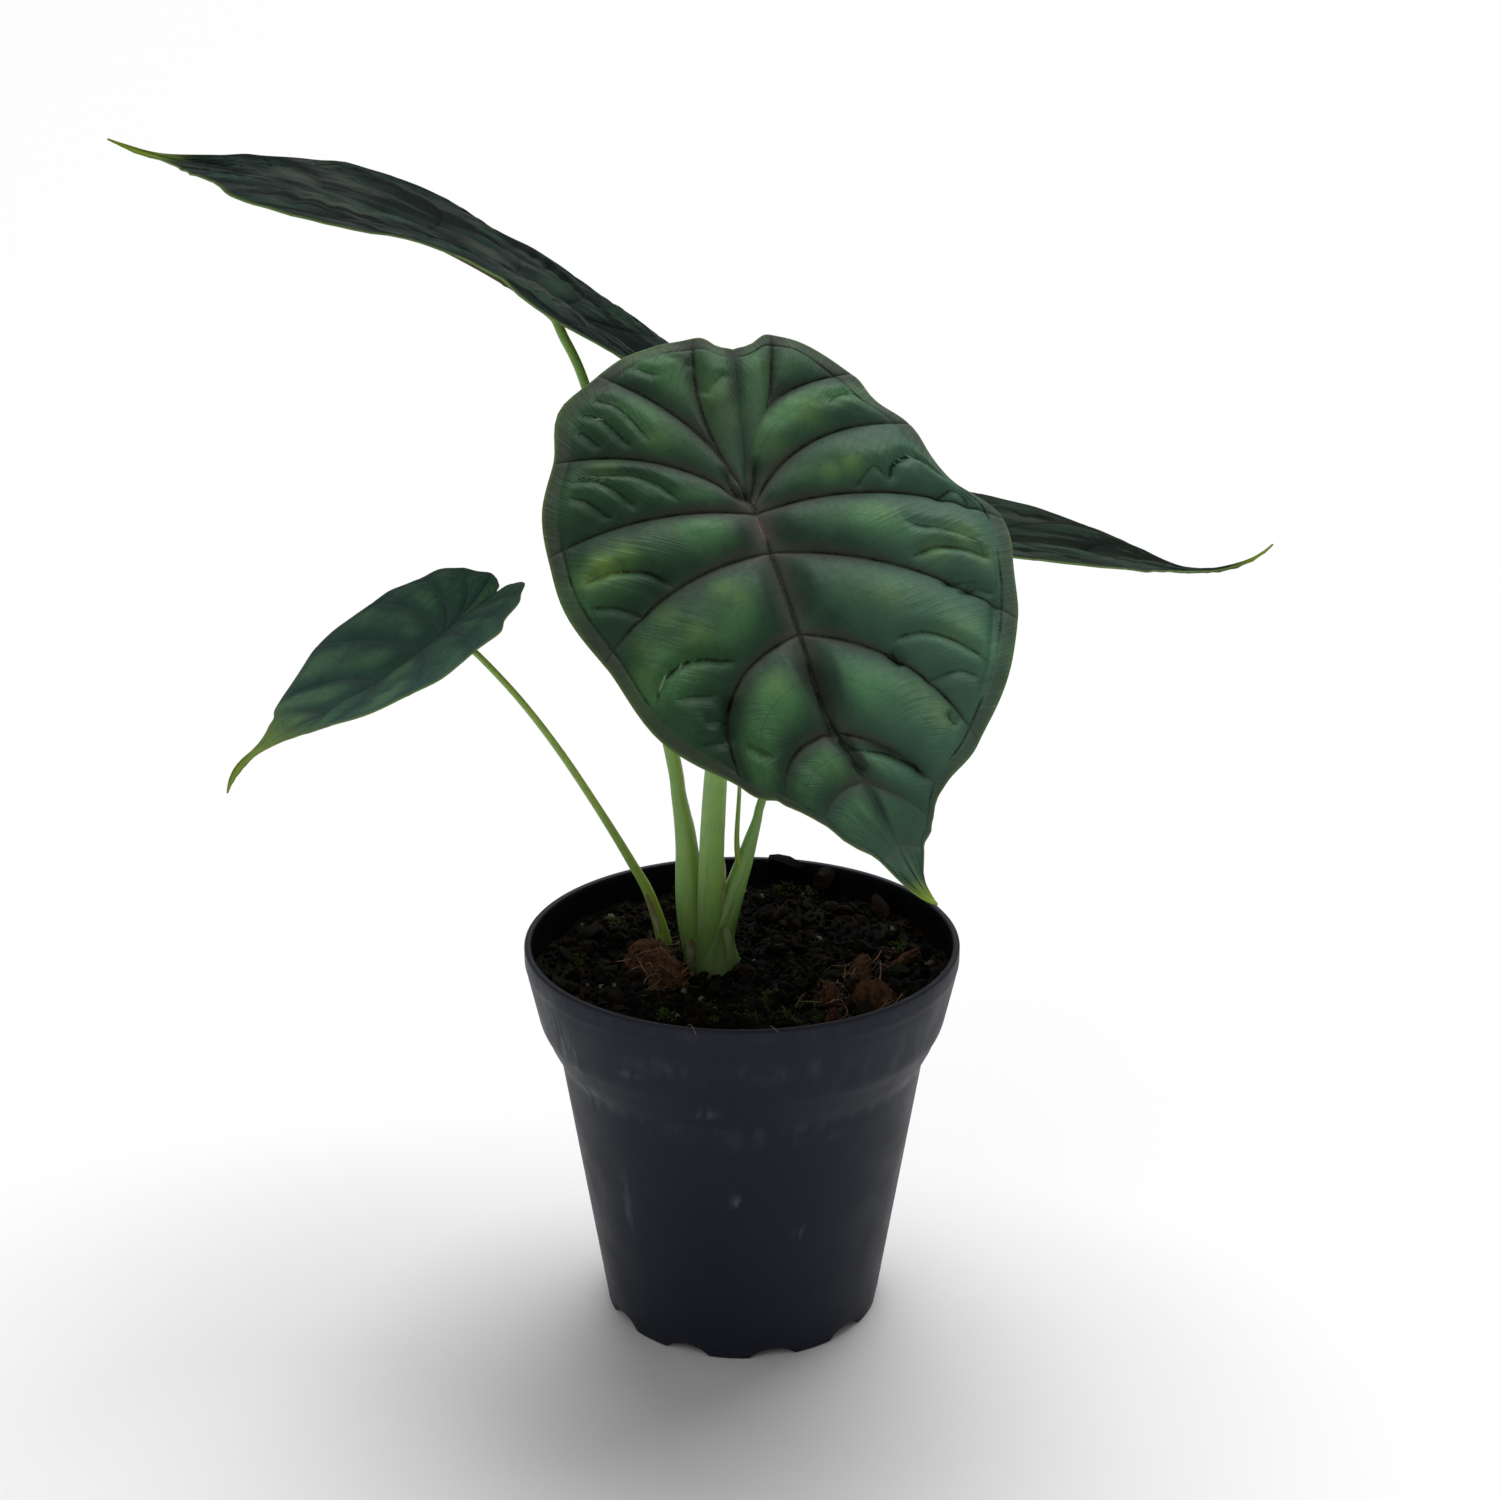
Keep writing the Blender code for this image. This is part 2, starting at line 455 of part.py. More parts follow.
def stem_body(dense, distance, start, stop, end_normal=None):
    """A round tube along part of a path. Its last ring faces end_normal where one is given."""
    count = max(3, round((stop - start) / STEM_STEP) + 1)
    at = np.linspace(start, stop, count)
    path = np.stack([np.interp(at, distance, dense[:, k]) for k in range(4)], axis=1)
    ahead = np.stack([np.interp(at + 0.5 * MM, distance, dense[:, k]) - np.interp(at - 0.5 * MM, distance, dense[:, k])
                      for k in range(3)], axis=1)
    rings = [path[:1, :3]]
    side = np.array([1.0, 0, 0])
    turn = np.linspace(0, 2 * math.pi, STEM_SIDES, endpoint=False)[:, None]
    for index, (centre, forward) in enumerate(zip(path, ahead)):
        if end_normal is not None and index == count - 1:
            forward = end_normal
        forward = forward / np.linalg.norm(forward)
        side = side - forward * (side @ forward)
        side /= np.linalg.norm(side)
        other = np.cross(forward, side)
        rings.append(centre[:3] + centre[3] * (np.cos(turn) * side + np.sin(turn) * other))
    rings.append(path[-1:, :3])
    return loft(rings)


def sheath_cut(dense, distance):
    """How far along a stem's path it passes the top of the clasping leaf bases."""
    return float(np.interp(SHEATH_TOP, dense[:, 2], distance))


def make_stem(name, leaf, material):
    """The free stem of a leaf, from its sheath or from the mix, to its seat under the hub."""
    up = leaf_axes(leaf)[2]
    seat = np.array(leaf["hub"]) - up * (leaf["thickness"] + 0.4)
    knots = [*STEMS[name], (*seat, STEMS[name][-1][3] * 1.1)]
    dense, distance = smooth_path(knots)
    start = sheath_cut(dense, distance) + GAP if name in SHEATHED else 0
    return make_object("stem_" + name, *stem_body(dense, distance, start, distance[-1], up), material)


def make_crown(material):
    """The corm in the mix, the three clasping leaf bases that rise from it and the new shoot between
    them, joined into one body."""
    parts = bpy.data.collections.new("crown_parts")
    bpy.context.scene.collection.children.link(parts)
    for name in SHEATHED:
        dense, distance = smooth_path(STEMS[name])
        part = make_object("sheath_" + name, *stem_body(dense, distance, 0, sheath_cut(dense, distance)))
        parts.objects.link(part)
    dense, distance = smooth_path(SHOOT)
    parts.objects.link(make_object("shoot", *stem_body(dense, distance, 0, distance[-1])))
    x, y, z, radius = (value * MM for value in CORM)
    levels = np.linspace(-math.pi / 2, math.pi / 2, 9)
    rings = [circle(radius * max(0, round(math.cos(level), 9)), z + radius * 0.9 * math.sin(level), 16, (x, y))
             for level in levels]
    crown = make_object("crown", *loft(rings), material)
    union = crown.modifiers.new("join", "BOOLEAN")
    union.operation = "UNION"
    union.operand_type = "COLLECTION"
    union.collection = parts
    graph = bpy.context.evaluated_depsgraph_get()
    joined = bpy.data.meshes.new_from_object(crown.evaluated_get(graph))
    crown.modifiers.clear()
    crown.data = joined
    for part in list(parts.objects):
        bpy.data.objects.remove(part, do_unlink=True)
    bpy.data.collections.remove(parts)
    return crown


def main():
    clear_scene()
    plastic = make_material("pot_plastic", (0.018, 0.021, 0.028), 0.5)
    mix = make_material("potting_mix", (0.020, 0.012, 0.008), 0.95)
    stem = make_material("stem_green", (0.20, 0.33, 0.12), 0.45)
    blade_green = make_material("blade_green", (0.030, 0.085, 0.045), 0.5)
    make_pot(plastic)
    make_potting_mix(mix)
    make_crown(stem)
    for name, leaf in LEAVES.items():
        make_stem(name, leaf, stem)
        make_object("blade_" + name, *blade_mesh(leaf), blade_green)


main()
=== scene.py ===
"""Looks of the potted dragon scale alocasia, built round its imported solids. Metres, +Z up."""

import math

import bpy
import numpy as np
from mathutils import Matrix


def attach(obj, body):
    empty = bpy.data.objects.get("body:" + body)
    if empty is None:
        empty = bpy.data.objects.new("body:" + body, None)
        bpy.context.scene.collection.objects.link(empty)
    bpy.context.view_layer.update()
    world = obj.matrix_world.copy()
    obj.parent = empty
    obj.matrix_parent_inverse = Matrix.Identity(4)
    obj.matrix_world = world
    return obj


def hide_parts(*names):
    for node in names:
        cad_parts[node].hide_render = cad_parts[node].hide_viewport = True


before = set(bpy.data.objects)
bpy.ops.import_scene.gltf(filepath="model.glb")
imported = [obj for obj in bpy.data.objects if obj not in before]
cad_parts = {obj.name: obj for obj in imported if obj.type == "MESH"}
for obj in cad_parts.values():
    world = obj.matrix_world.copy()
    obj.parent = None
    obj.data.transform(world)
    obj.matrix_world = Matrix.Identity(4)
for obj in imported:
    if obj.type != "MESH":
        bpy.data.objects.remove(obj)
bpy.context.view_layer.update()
MM = 0.001
TURN = 2 * math.pi


# Camera, floor and light. The camera stands where the photograph was taken from, worked out from
# the pot's rim, sides and foot. The floor is a plain pale flat plane under a wide soft light from above.
CAMERA_PLACE = (0.0022, -0.6342, 0.3879)
CAMERA_TILT_DEG = 90 - 19.39
CAMERA_LENS = 60

view = bpy.data.cameras.new("view")
view.lens = CAMERA_LENS
view.sensor_width = 36
view_object = bpy.data.objects.new("view", view)
view_object.location = CAMERA_PLACE
view_object.rotation_euler = (math.radians(CAMERA_TILT_DEG), 0, 0)
bpy.context.scene.collection.objects.link(view_object)
bpy.context.scene.camera = view_object


def plain_material(name, colour, roughness):
    """A Principled material of one colour, and its shader node."""
    material = bpy.data.materials.new(name)
    material.use_nodes = True
    shader = next(node for node in material.node_tree.nodes if node.type == "BSDF_PRINCIPLED")
    shader.inputs["Base Color"].default_value = (*colour, 1)
    shader.inputs["Roughness"].default_value = roughness
    return material, shader


def soft_light(name, place, target, size, power, colour):
    """A square area light at a place, turned so that it shines at the target."""
    lamp = bpy.data.lights.new(name, "AREA")
    lamp.size = size
    lamp.energy = power
    lamp.color = colour
    lamp_object = bpy.data.objects.new(name, lamp)
    lamp_object.location = place
    away = np.array(target, float) - np.array(place, float)
    lamp_object.rotation_euler = (math.acos(-away[2] / np.linalg.norm(away)), 0,
                                  math.atan2(away[1], away[0]) - math.pi / 2)
    bpy.context.scene.collection.objects.link(lamp_object)


FLOOR_HALF = 12.0
floor_mesh = bpy.data.meshes.new("floor")
floor_corners = [(x * FLOOR_HALF, y * FLOOR_HALF, 0) for x, y in ((-1, -1), (1, -1), (1, 1), (-1, 1))]
floor_mesh.from_pydata(floor_corners, [], [(0, 1, 2, 3)])
floor = bpy.data.objects.new("floor", floor_mesh)
floor_mesh.materials.append(plain_material("pale_floor", (0.74, 0.74, 0.74), 0.8)[0])
bpy.context.scene.collection.objects.link(floor)

SKY_TOWARDS = (0.10, 0.42, 0.90)
SKY_POWER = 3.5
SKY_WIDTH_DEG = 52
BACKDROP_POWER = 0.32
sky = bpy.data.lights.new("overcast_sky", "SUN")
sky.energy = SKY_POWER
sky.angle = math.radians(SKY_WIDTH_DEG)
sky_object = bpy.data.objects.new("overcast_sky", sky)
sky_object.rotation_euler = (math.acos(SKY_TOWARDS[2] / math.dist(SKY_TOWARDS, (0, 0, 0))), 0,
                             math.atan2(SKY_TOWARDS[0], -SKY_TOWARDS[1]))
bpy.context.scene.collection.objects.link(sky_object)
soft_light("window", (-0.5, -0.9, 0.9), (0, 0, 0.17), 0.7, 1.8, (1.0, 0.99, 0.97))
world = bpy.data.worlds.new("daylight")
bpy.context.scene.world = world
world.use_nodes = True
backdrop = next(node for node in world.node_tree.nodes if node.type == "BACKGROUND")
backdrop.inputs["Color"].default_value = (1, 1, 1, 1)
backdrop.inputs["Strength"].default_value = BACKDROP_POWER
bpy.context.scene.view_settings.view_transform = "Standard"


# Nursery pot: one thin wall of moulded charcoal plastic. A tapered body with a stepped collar and a
# rim lip, a foot skirt with ten drainage arches, and ten round holes in the raised channel behind it.
COLLAR_TOP_RADIUS = 59.3 * MM
COLLAR_FOOT_RADIUS = 56.5 * MM
COLLAR_FOOT_HEIGHT = 89.5 * MM
SHOULDER_HEIGHT = 76 * MM
BODY_TOP_RADIUS = 50.45 * MM
FOOT_RADIUS = 38.9 * MM
COLLAR_TOP_HEIGHT = 102.3 * MM
# Rounded edges: steps out and up in millimetres from the body's top, from the collar's foot, and the
# lip itself as radius and height
BODY_BEND = [(-0.2, -2), (0, -0.2), (0.3, 1), (1, 2.3), (2, 4.2), (3.2, 6.6)]
COLLAR_BEND = [(-2.2, -5.1), (-1.1, -3.1), (-0.5, -1.7), (0, 0)]
LIP = [(59.42, 103.1), (59.58, 103.9), (59.78, 104.5), (59.93, 105.1), (60.0, 105.9), (60.0, 107.5),
       (60.0, 109.2), (59.9, 109.65), (59.65, 109.92), (59.3, 110.0)]
INNER_LIP = [(58.6, 110), (58.25, 109.85), (58.1, 109.5)]
POT_WALL = 1.2 * MM
CHANNEL_INNER_RADIUS = 21 * MM
CHANNEL_HEIGHT = 3.2 * MM
ARCH_COUNT = 10
ARCH_WIDTH = 12 * MM
ARCH_HEIGHT = 2.6 * MM
FIRST_ARCH_DEG = 12.8
DRAIN_RADIUS = 3 * MM
DRAIN_RING_RADIUS = 30.5 * MM
DRAIN_SIDES = 24
POT_SEGMENTS = 240
PLASTIC_TONES = (0.0128, 0.0148, 0.0246), (0.0176, 0.0192, 0.0284)
DUST_COLOUR = (0.16, 0.17, 0.19)
# Near black of the pot's inside: soil stain and painted shade in the recess
SOIL_AND_SHADE_COLOUR = (0.0012, 0.0010, 0.0009)


def smooth_step(value, low, high):
    """0 below low, 1 above high, and the cubic 3t^2 - 2t^3 between."""
    share = np.clip((value - low) / (high - low), 0, 1)
    return share * share * (3 - 2 * share)


def value_noise(x, y, z, seed):
    """Smooth noise from 0 to 1: random numbers at whole x, y and z, blended by the cubic between."""
    cells = [np.floor(v).astype(np.int64) for v in np.broadcast_arrays(x, y, z)]
    parts = [v - c for v, c in zip(np.broadcast_arrays(x, y, z), cells)]
    parts = [p * p * (3 - 2 * p) for p in parts]
    total = 0
    for corner in range(8):
        at = [c + (corner >> k & 1) for k, c in enumerate(cells)]
        mixed = (at[0] * 73856093) ^ (at[1] * 19349663) ^ (at[2] * 83492791) ^ (seed * 2654435761)
        mixed = (mixed ^ (mixed >> 13)) * 1274126177
        number = ((mixed ^ (mixed >> 16)) & 0xFFFF) / 65535
        weight = 1
        for k, p in enumerate(parts):
            weight = weight * (p if corner >> k & 1 else 1 - p)
        total = total + number * weight
    return total


def catmull_rom(a, b, c, d, f):
    """The curve from b (f = 0) to c (f = 1) that leaves each along the line between its neighbours."""
    return 0.5 * (2 * b + (c - a) * f + (2 * a - 5 * b + 4 * c - d) * f ** 2
                  + (3 * b - a - 3 * c + d) * f ** 3)


def smooth_line(knots, spacing):
    """Points along a Catmull-Rom curve through the knots, spacing apart, with their other columns."""
    knots = np.array(knots, float)
    ring = np.vstack([2 * knots[0] - knots[1], knots, 2 * knots[-1] - knots[-2]])
    f = np.linspace(0, 1, 24, endpoint=False)[:, None]
    spans = [catmull_rom(*four, f) for four in zip(ring, ring[1:], ring[2:], ring[3:])]
    dense = np.vstack([*spans, knots[-1:]])
    far = np.concatenate([[0], np.cumsum(np.linalg.norm(np.diff(dense[:, :3], axis=0), axis=1))])
    at = np.linspace(0, far[-1], max(3, round(far[-1] / spacing) + 1))
    return np.stack([np.interp(at, far, dense[:, k]) for k in range(dense.shape[1])], axis=1), at


def grid_faces(rows, columns, closed_round):
    """Two triangles for each cell of a grid of points. closed_round joins the last column to the first."""
    across = columns if closed_round else columns - 1
    r, c = np.meshgrid(np.arange(rows - 1), np.arange(across), indexing="ij")
    here, right = r * columns + c, r * columns + (c + 1) % columns
    one = np.stack([here, right, right + columns], axis=-1)
    other = np.stack([here, right + columns, here + columns], axis=-1)
    return np.concatenate([one.reshape(-1, 3), other.reshape(-1, 3)])


def triples(first, second, third):
    """Three values for each point, as rows of three."""
    return np.stack(np.broadcast_arrays(first, second, third), axis=-1).reshape(-1, 3)


def new_piece(name, points, faces, look, values=(), flat=None, sharp_deg=40):
    """A mesh object from arrays. Points in one place are joined, faces that close up are dropped, and
    a closed body is turned to face outwards. values are colour attributes and flat is the UV map."""
    points, faces = np.asarray(points, float), np.asarray(faces)
    _, first, index = np.unique(np.round(points * 1e7), axis=0, return_index=True, return_inverse=True)
    corner_source = faces
    faces = index.reshape(-1)[faces]
    keep = (faces[:, 0] != faces[:, 1]) & (faces[:, 1] != faces[:, 2]) & (faces[:, 2] != faces[:, 0])
    faces, corner_source = faces[keep], corner_source[keep]
    points = points[first]
    corners = points[faces]
    if np.einsum("ij,ij->i", corners[:, 0], np.cross(corners[:, 1], corners[:, 2])).sum() < 0:
        faces, corner_source = faces[:, ::-1], corner_source[:, ::-1]
    mesh = bpy.data.meshes.new(name)
    mesh.vertices.add(len(points))
    mesh.vertices.foreach_set("co", points.ravel())
    mesh.loops.add(faces.size)
    mesh.loops.foreach_set("vertex_index", faces.ravel())
    mesh.polygons.add(len(faces))
    mesh.polygons.foreach_set("loop_start", np.arange(0, faces.size, 3))
    mesh.update(calc_edges=True)
    for label, colours in values:
        marks = mesh.attributes.new(label, "FLOAT_COLOR", "POINT")
        full = np.ones((len(points), 4))
        full[:, :3] = np.asarray(colours)[first]
        marks.data.foreach_set("color", full.ravel())
    if flat is not None:
        layer = mesh.uv_layers.new(name="flat")
        layer.data.foreach_set("uv", np.asarray(flat)[corner_source].reshape(-1, 2).ravel())
    mesh.shade_smooth()
    mesh.set_sharp_from_angle(angle=math.radians(sharp_deg))
    mesh.materials.append(look.material)
    piece = bpy.data.objects.new(name, mesh)
    bpy.context.scene.collection.objects.link(piece)
    return piece


def pot_outside():
    """The pot's outer profile from foot to rim as (radius, height), with rounded edges."""
    foot = [(FOOT_RADIUS - 0.5 * MM, 0), (FOOT_RADIUS - 0.1 * MM, 0.3 * MM), (FOOT_RADIUS, 0.9 * MM)]
    widening = BODY_TOP_RADIUS - 0.2 * MM - FOOT_RADIUS
    side = [(FOOT_RADIUS + widening * t, 0.9 * MM + (SHOULDER_HEIGHT - 2.9 * MM) * t)
            for t in np.linspace(0.04, 0.97, 24)]
    shoulder = [(BODY_TOP_RADIUS + out * MM, SHOULDER_HEIGHT + up * MM) for out, up in BODY_BEND]
    shoulder += [(COLLAR_FOOT_RADIUS + out * MM, COLLAR_FOOT_HEIGHT + up * MM) for out, up in COLLAR_BEND]
    collar = [(COLLAR_FOOT_RADIUS + (COLLAR_TOP_RADIUS - COLLAR_FOOT_RADIUS) * t,
               COLLAR_FOOT_HEIGHT + (COLLAR_TOP_HEIGHT - COLLAR_FOOT_HEIGHT) * t)
              for t in np.linspace(0.1, 1, 8)]
    return foot + side + shoulder + collar + [(r * MM, z * MM) for r, z in LIP]


def pot_inner_radius(height):
    """The inner wall's radius at a height: one wall inside the outer profile, without the lip."""
    outside = np.array(pot_outside())
    outer = np.minimum(outside[:, 0], COLLAR_TOP_RADIUS - 0.2 * MM)
    return np.interp(height, outside[:, 1], outer) - POT_WALL


def pot_rings():
    """(ring radius, height, lift) from the middle underneath, up the outside, over the rim and down the
    inside to the middle. Where lift is 1 the ring rises over each arch in the skirt. Also returned: the
    numbers of the first ring on the outside and of the first ring inside the rim."""
    floor_height = CHANNEL_HEIGHT + POT_WALL
    skirt = FOOT_RADIUS - POT_WALL - 0.4 * MM
    rings = [(0, 0, 0), (CHANNEL_INNER_RADIUS * 0.5, 0, 0), (CHANNEL_INNER_RADIUS - 1 * MM, 0, 0),
             (CHANNEL_INNER_RADIUS - 0.6 * MM, 0.2 * MM, 0), (CHANNEL_INNER_RADIUS, CHANNEL_HEIGHT, 0),
             (DRAIN_RING_RADIUS, CHANNEL_HEIGHT, 0), (skirt + 0.1 * MM, CHANNEL_HEIGHT, 0),
             (skirt, 0.2 * MM, 1), (skirt + 0.2 * MM, 0, 1)]
    first_outside = len(rings)
    rings += [(r, z, 1 if z < 1 * MM else 0) for r, z in pot_outside()]
    rings += [(r * MM, z * MM, 0) for r, z in INNER_LIP]
    first_inside = len(rings) - 1
    rings += [(pot_inner_radius(z), z, 0) for z in np.linspace(109.0, floor_height / MM + 0.8, 34) * MM]
    rings += [(pot_inner_radius(floor_height) - 0.8 * MM, floor_height, 0),
              (DRAIN_RING_RADIUS, floor_height, 0),
              (CHANNEL_INNER_RADIUS - POT_WALL + 0.4 * MM, floor_height, 0),
              (CHANNEL_INNER_RADIUS - POT_WALL - 0.4 * MM, POT_WALL, 0), (0, POT_WALL, 0)]
    return np.array(rings), first_outside, first_inside


def pot_points(rings, segments):
    """The grid: each ring turned round the axis. A ring with lift stands on the arch curve
    height = ARCH_HEIGHT sqrt(1 - (across / half width)^2)."""
    turn = np.linspace(0, TURN, segments, endpoint=False)
    step = TURN / ARCH_COUNT
    first = math.radians(FIRST_ARCH_DEG - 90)
    across = ((turn - first + step / 2) % step - step / 2) * FOOT_RADIUS
    arch = ARCH_HEIGHT * np.sqrt(np.clip(1 - (across / (ARCH_WIDTH / 2)) ** 2, 0, 1))
    radius, height, lift = (rings[:, k:k + 1] for k in range(3))
    z = np.where(lift > 0, np.maximum(height, arch + height * 0.4), height * np.ones_like(turn))
    return np.stack([radius * np.cos(turn), radius * np.sin(turn), z], axis=-1)


rings, first_outside, first_inside = pot_rings()
body = pot_points(rings, POT_SEGMENTS)
facing = np.degrees(np.arctan2(body[..., 0], -body[..., 1]))
height_mm = body[..., 2] / MM
# Dry splashes and finger marks, each (degrees round from the front, height, half widths, strength)
SMEARS = [(-60, 97, 7, 6, 0.9), (-55, 88, 6, 8, 1.0), (-51, 78, 6, 4, 0.7), (-44, 46, 3, 9, 0.6),
          (-31, 92, 3, 1, 0.6), (-11, 83, 3, 1.2, 0.9), (-2, 54, 1.5, 1.2, 0.8), (20, 42, 1.6, 1.6, 0.8),
          (-20, 96, 10, 3, 0.2), (14, 97, 14, 3, 0.15), (30, 88, 8, 6, 0.15), (48, 92, 9, 8, 0.25),
          (60, 84, 9, 7, 0.25), (73, 82, 4, 2, 0.6), (-10, 74, 20, 1.6, 0.15), (20, 72, 22, 1.6, 0.1),
          (150, 90, 16, 10, 0.4), (200, 70, 20, 14, 0.25), (110, 95, 12, 7, 0.4), (130, 50, 20, 18, 0.2)]
smear = np.zeros_like(height_mm)
for centre, level, wide, tall, strength in SMEARS:
    apart = (facing - centre + 180) % 360 - 180
    smear += strength * np.exp(-(apart / wide) ** 2 - ((height_mm - level) / tall) ** 2)
streak = (value_noise(facing / 2.1, height_mm / 7, 0, 11) * 0.6
          + value_noise(facing / 0.8, height_mm / 2.2, 0, 12) * 0.4)
for level, tall, strength in ((108, 1.6, 0.08), (76.5, 1.2, 0.15)):
    smear += strength * np.exp(-((height_mm - level) / tall) ** 2)
ring_number = np.arange(len(rings))[:, None]
outside = (ring_number >= first_outside) & (ring_number < first_inside)
# The second mark, the whole inside from the rim down, is painted near black: soil stain and painted shade
pot_marks = triples(np.clip(smear * smooth_step(streak, 0.3, 0.75) * outside, 0, 1),
                    ring_number >= first_inside, 0)


class Look:
    """A Principled material that is built up node by node. Every share and value is a node's output or a
    plain number, and every colour a node's output or three numbers. The plain colour only stands in
    where nodes aren't read."""

    def __init__(self, name, colour, roughness):
        self.material, self.shader = plain_material(name, colour, roughness)
        self.tree = self.material.node_tree

    def join(self, value, socket):
        """Links a node's output to a socket, or sets a plain number or colour there."""
        if isinstance(value, (int, float)):
            socket.default_value = value
        elif isinstance(value, tuple):
            socket.default_value = (*value, 1)
        else:
            self.tree.links.new(value, socket)

    def feed(self, **inputs):
        """Joins values to the shader's inputs, named with _ for each space."""
        for name, value in inputs.items():
            self.join(value, self.shader.inputs[name.replace("_", " ")])

    def node(self, kind, **settings):
        """A new node of a kind with some of its settings and plain inputs."""
        node = self.tree.nodes.new(kind)
        for key, value in settings.items():
            if key in node.inputs:
                node.inputs[key].default_value = value
            else:
                setattr(node, key, value)
        return node

    def place(self, kind="Object"):
        """The point's place on the object in metres, or its UV."""
        return self.node("ShaderNodeTexCoord").outputs[kind]

    def noise(self, coordinates, scale, detail=4.0, roughness=0.55, stretch=None):
        """Perlin noise from 0 to 1 on the given coordinates, stretched along an axis where asked."""
        if stretch:
            placed = self.node("ShaderNodeMapping", Scale=stretch)
            self.join(coordinates, placed.inputs["Vector"])
            coordinates = placed.outputs["Vector"]
        node = self.node("ShaderNodeTexNoise", Scale=scale, Detail=detail, Roughness=roughness)
        self.join(coordinates, node.inputs["Vector"])
        return node.outputs["Fac"]

    def ramp(self, value, low, high, to_low=0.0, to_high=1.0):
        """Maps low..high to to_low..to_high and clamps it."""
        node = self.node("ShaderNodeMapRange")
        for key, number in (("From Min", low), ("From Max", high), ("To Min", to_low), ("To Max", to_high)):
            node.inputs[key].default_value = number
        self.join(value, node.inputs["Value"])
        return node.outputs["Result"]

    def maths(self, operation, first, second=0.0):
        """Arithmetic on two values."""
        node = self.node("ShaderNodeMath", operation=operation)
        self.join(first, node.inputs[0])
        self.join(second, node.inputs[1])
        return node.outputs["Value"]

    def times(self, first, second):
        """The product of two values."""
        return self.maths("MULTIPLY", first, second)

    def plus(self, first, second):
        """The sum of two values."""
        return self.maths("ADD", first, second)

    def blend(self, share, first, second):
        """The first colour where share is 0 and the second where it is 1."""
        node = self.node("ShaderNodeMix", data_type="RGBA")
        for value, socket in ((share, "Factor"), (first, 6), (second, 7)):
            self.join(value, node.inputs[socket])
        return node.outputs[2]

    def tint(self, base, share, strength, colour):
        """The base colour, painted over with the other to share times strength."""
        return self.blend(self.times(share, strength), base, colour)

    def marks(self, label):
        """The three numbers held in a colour attribute."""
        source = self.node("ShaderNodeAttribute", attribute_name=label)
        split = self.node("ShaderNodeSeparateColor")
        self.join(source.outputs["Color"], split.inputs["Color"])
        return [split.outputs[k] for k in range(3)]

    def raise_by(self, height, distance, strength=1.0):
        """Joins a height to the shader's normal as a bump of a real distance in metres."""
        node = self.node("ShaderNodeBump", Strength=strength, Distance=distance)
        self.join(height, node.inputs["Height"])
        self.join(node.outputs["Normal"], self.shader.inputs["Normal"])


plastic = Look("charcoal_plastic", PLASTIC_TONES[0], 0.45)
place = plastic.place()
dusty, soiled_and_shaded, _ = plastic.marks("pot_marks")
scuffs = plastic.noise(place, 260, 5, 0.65, (1, 1, 0.25))
specks = plastic.ramp(plastic.noise(place, 520, 2), 0.72, 0.78)
cloud = plastic.noise(place, 30, 3)
film = plastic.plus(plastic.times(dusty, plastic.ramp(scuffs, 0.36, 0.66)), plastic.times(specks, 0.05))
tone = plastic.blend(film, plastic.blend(cloud, *PLASTIC_TONES), DUST_COLOUR)
# The inside is painted near black: soil stain and painted shade
tone = plastic.tint(tone, soiled_and_shaded, plastic.ramp(cloud, 0.3, 0.7, 0.85, 1.0), SOIL_AND_SHADE_COLOUR)
shine = plastic.ramp(plastic.noise(place, 90, 4), 0.3, 0.7, 0.40, 0.52)
plastic.feed(Base_Color=tone, Roughness=plastic.plus(shine, plastic.times(dusty, 0.25)),
             Specular_IOR_Level=0.1)
plastic.raise_by(plastic.noise(place, 900, 3), 0.00008, 0.5)

pot = new_piece("nursery_pot", body.reshape(-1, 3), grid_faces(len(rings), POT_SEGMENTS, True), plastic,
                [("pot_marks", pot_marks)], sharp_deg=50)
drain_turn = np.radians(FIRST_ARCH_DEG - 90 + np.arange(ARCH_COUNT) * 360 / ARCH_COUNT)
drain_centres = np.stack([np.cos(drain_turn), np.sin(drain_turn)], axis=1) * DRAIN_RING_RADIUS
drain_round = np.linspace(0, TURN, DRAIN_SIDES, endpoint=False)
drain_radii = np.array([0, 1, 1, 0])[:, None] * DRAIN_RADIUS
drain_levels = np.array([-1, -1, 3, 3])[:, None] * MM + CHANNEL_HEIGHT
bores = triples(drain_centres[:, 0, None, None] + drain_radii * np.cos(drain_round),
                drain_centres[:, 1, None, None] + drain_radii * np.sin(drain_round), drain_levels)
bore_faces = grid_faces(4, DRAIN_SIDES, True)[None] + (np.arange(ARCH_COUNT) * 4 * DRAIN_SIDES)[:, None, None]
drain = new_piece("drain_bores", bores, bore_faces.reshape(-1, 3), plastic)
cut = pot.modifiers.new("drains", "BOOLEAN")
cut.operation = "DIFFERENCE"
cut.object = drain
bored = bpy.data.meshes.new_from_object(pot.evaluated_get(bpy.context.evaluated_depsgraph_get()))
pot.modifiers.clear()
pot.data = bored
bpy.data.objects.remove(drain, do_unlink=True)
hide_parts("pot")
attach(pot, "root")


# Potting mix: black peat and bark crumbs filled to a finger's width under the rim, with some lumps of
# reddish coir and their pale fibres, green moss where it stays damp, and a few grains of pale grit.
SOIL_LEVEL = 100.5 * MM
SOIL_LUMP = 1.5 * MM
SOIL_GAP = 0.5 * MM
SOIL_RISE = 0.03
CROWN_PLACE = (-7.6 * MM, 4.9 * MM)
SOIL_RINGS = 105
SOIL_SEGMENTS = 330
SMALL_CRUMBS = 2300
CRUMB_REACH = 55.5 * MM
BARK_PIECES = 210
BARK_REACH = 52.5 * MM
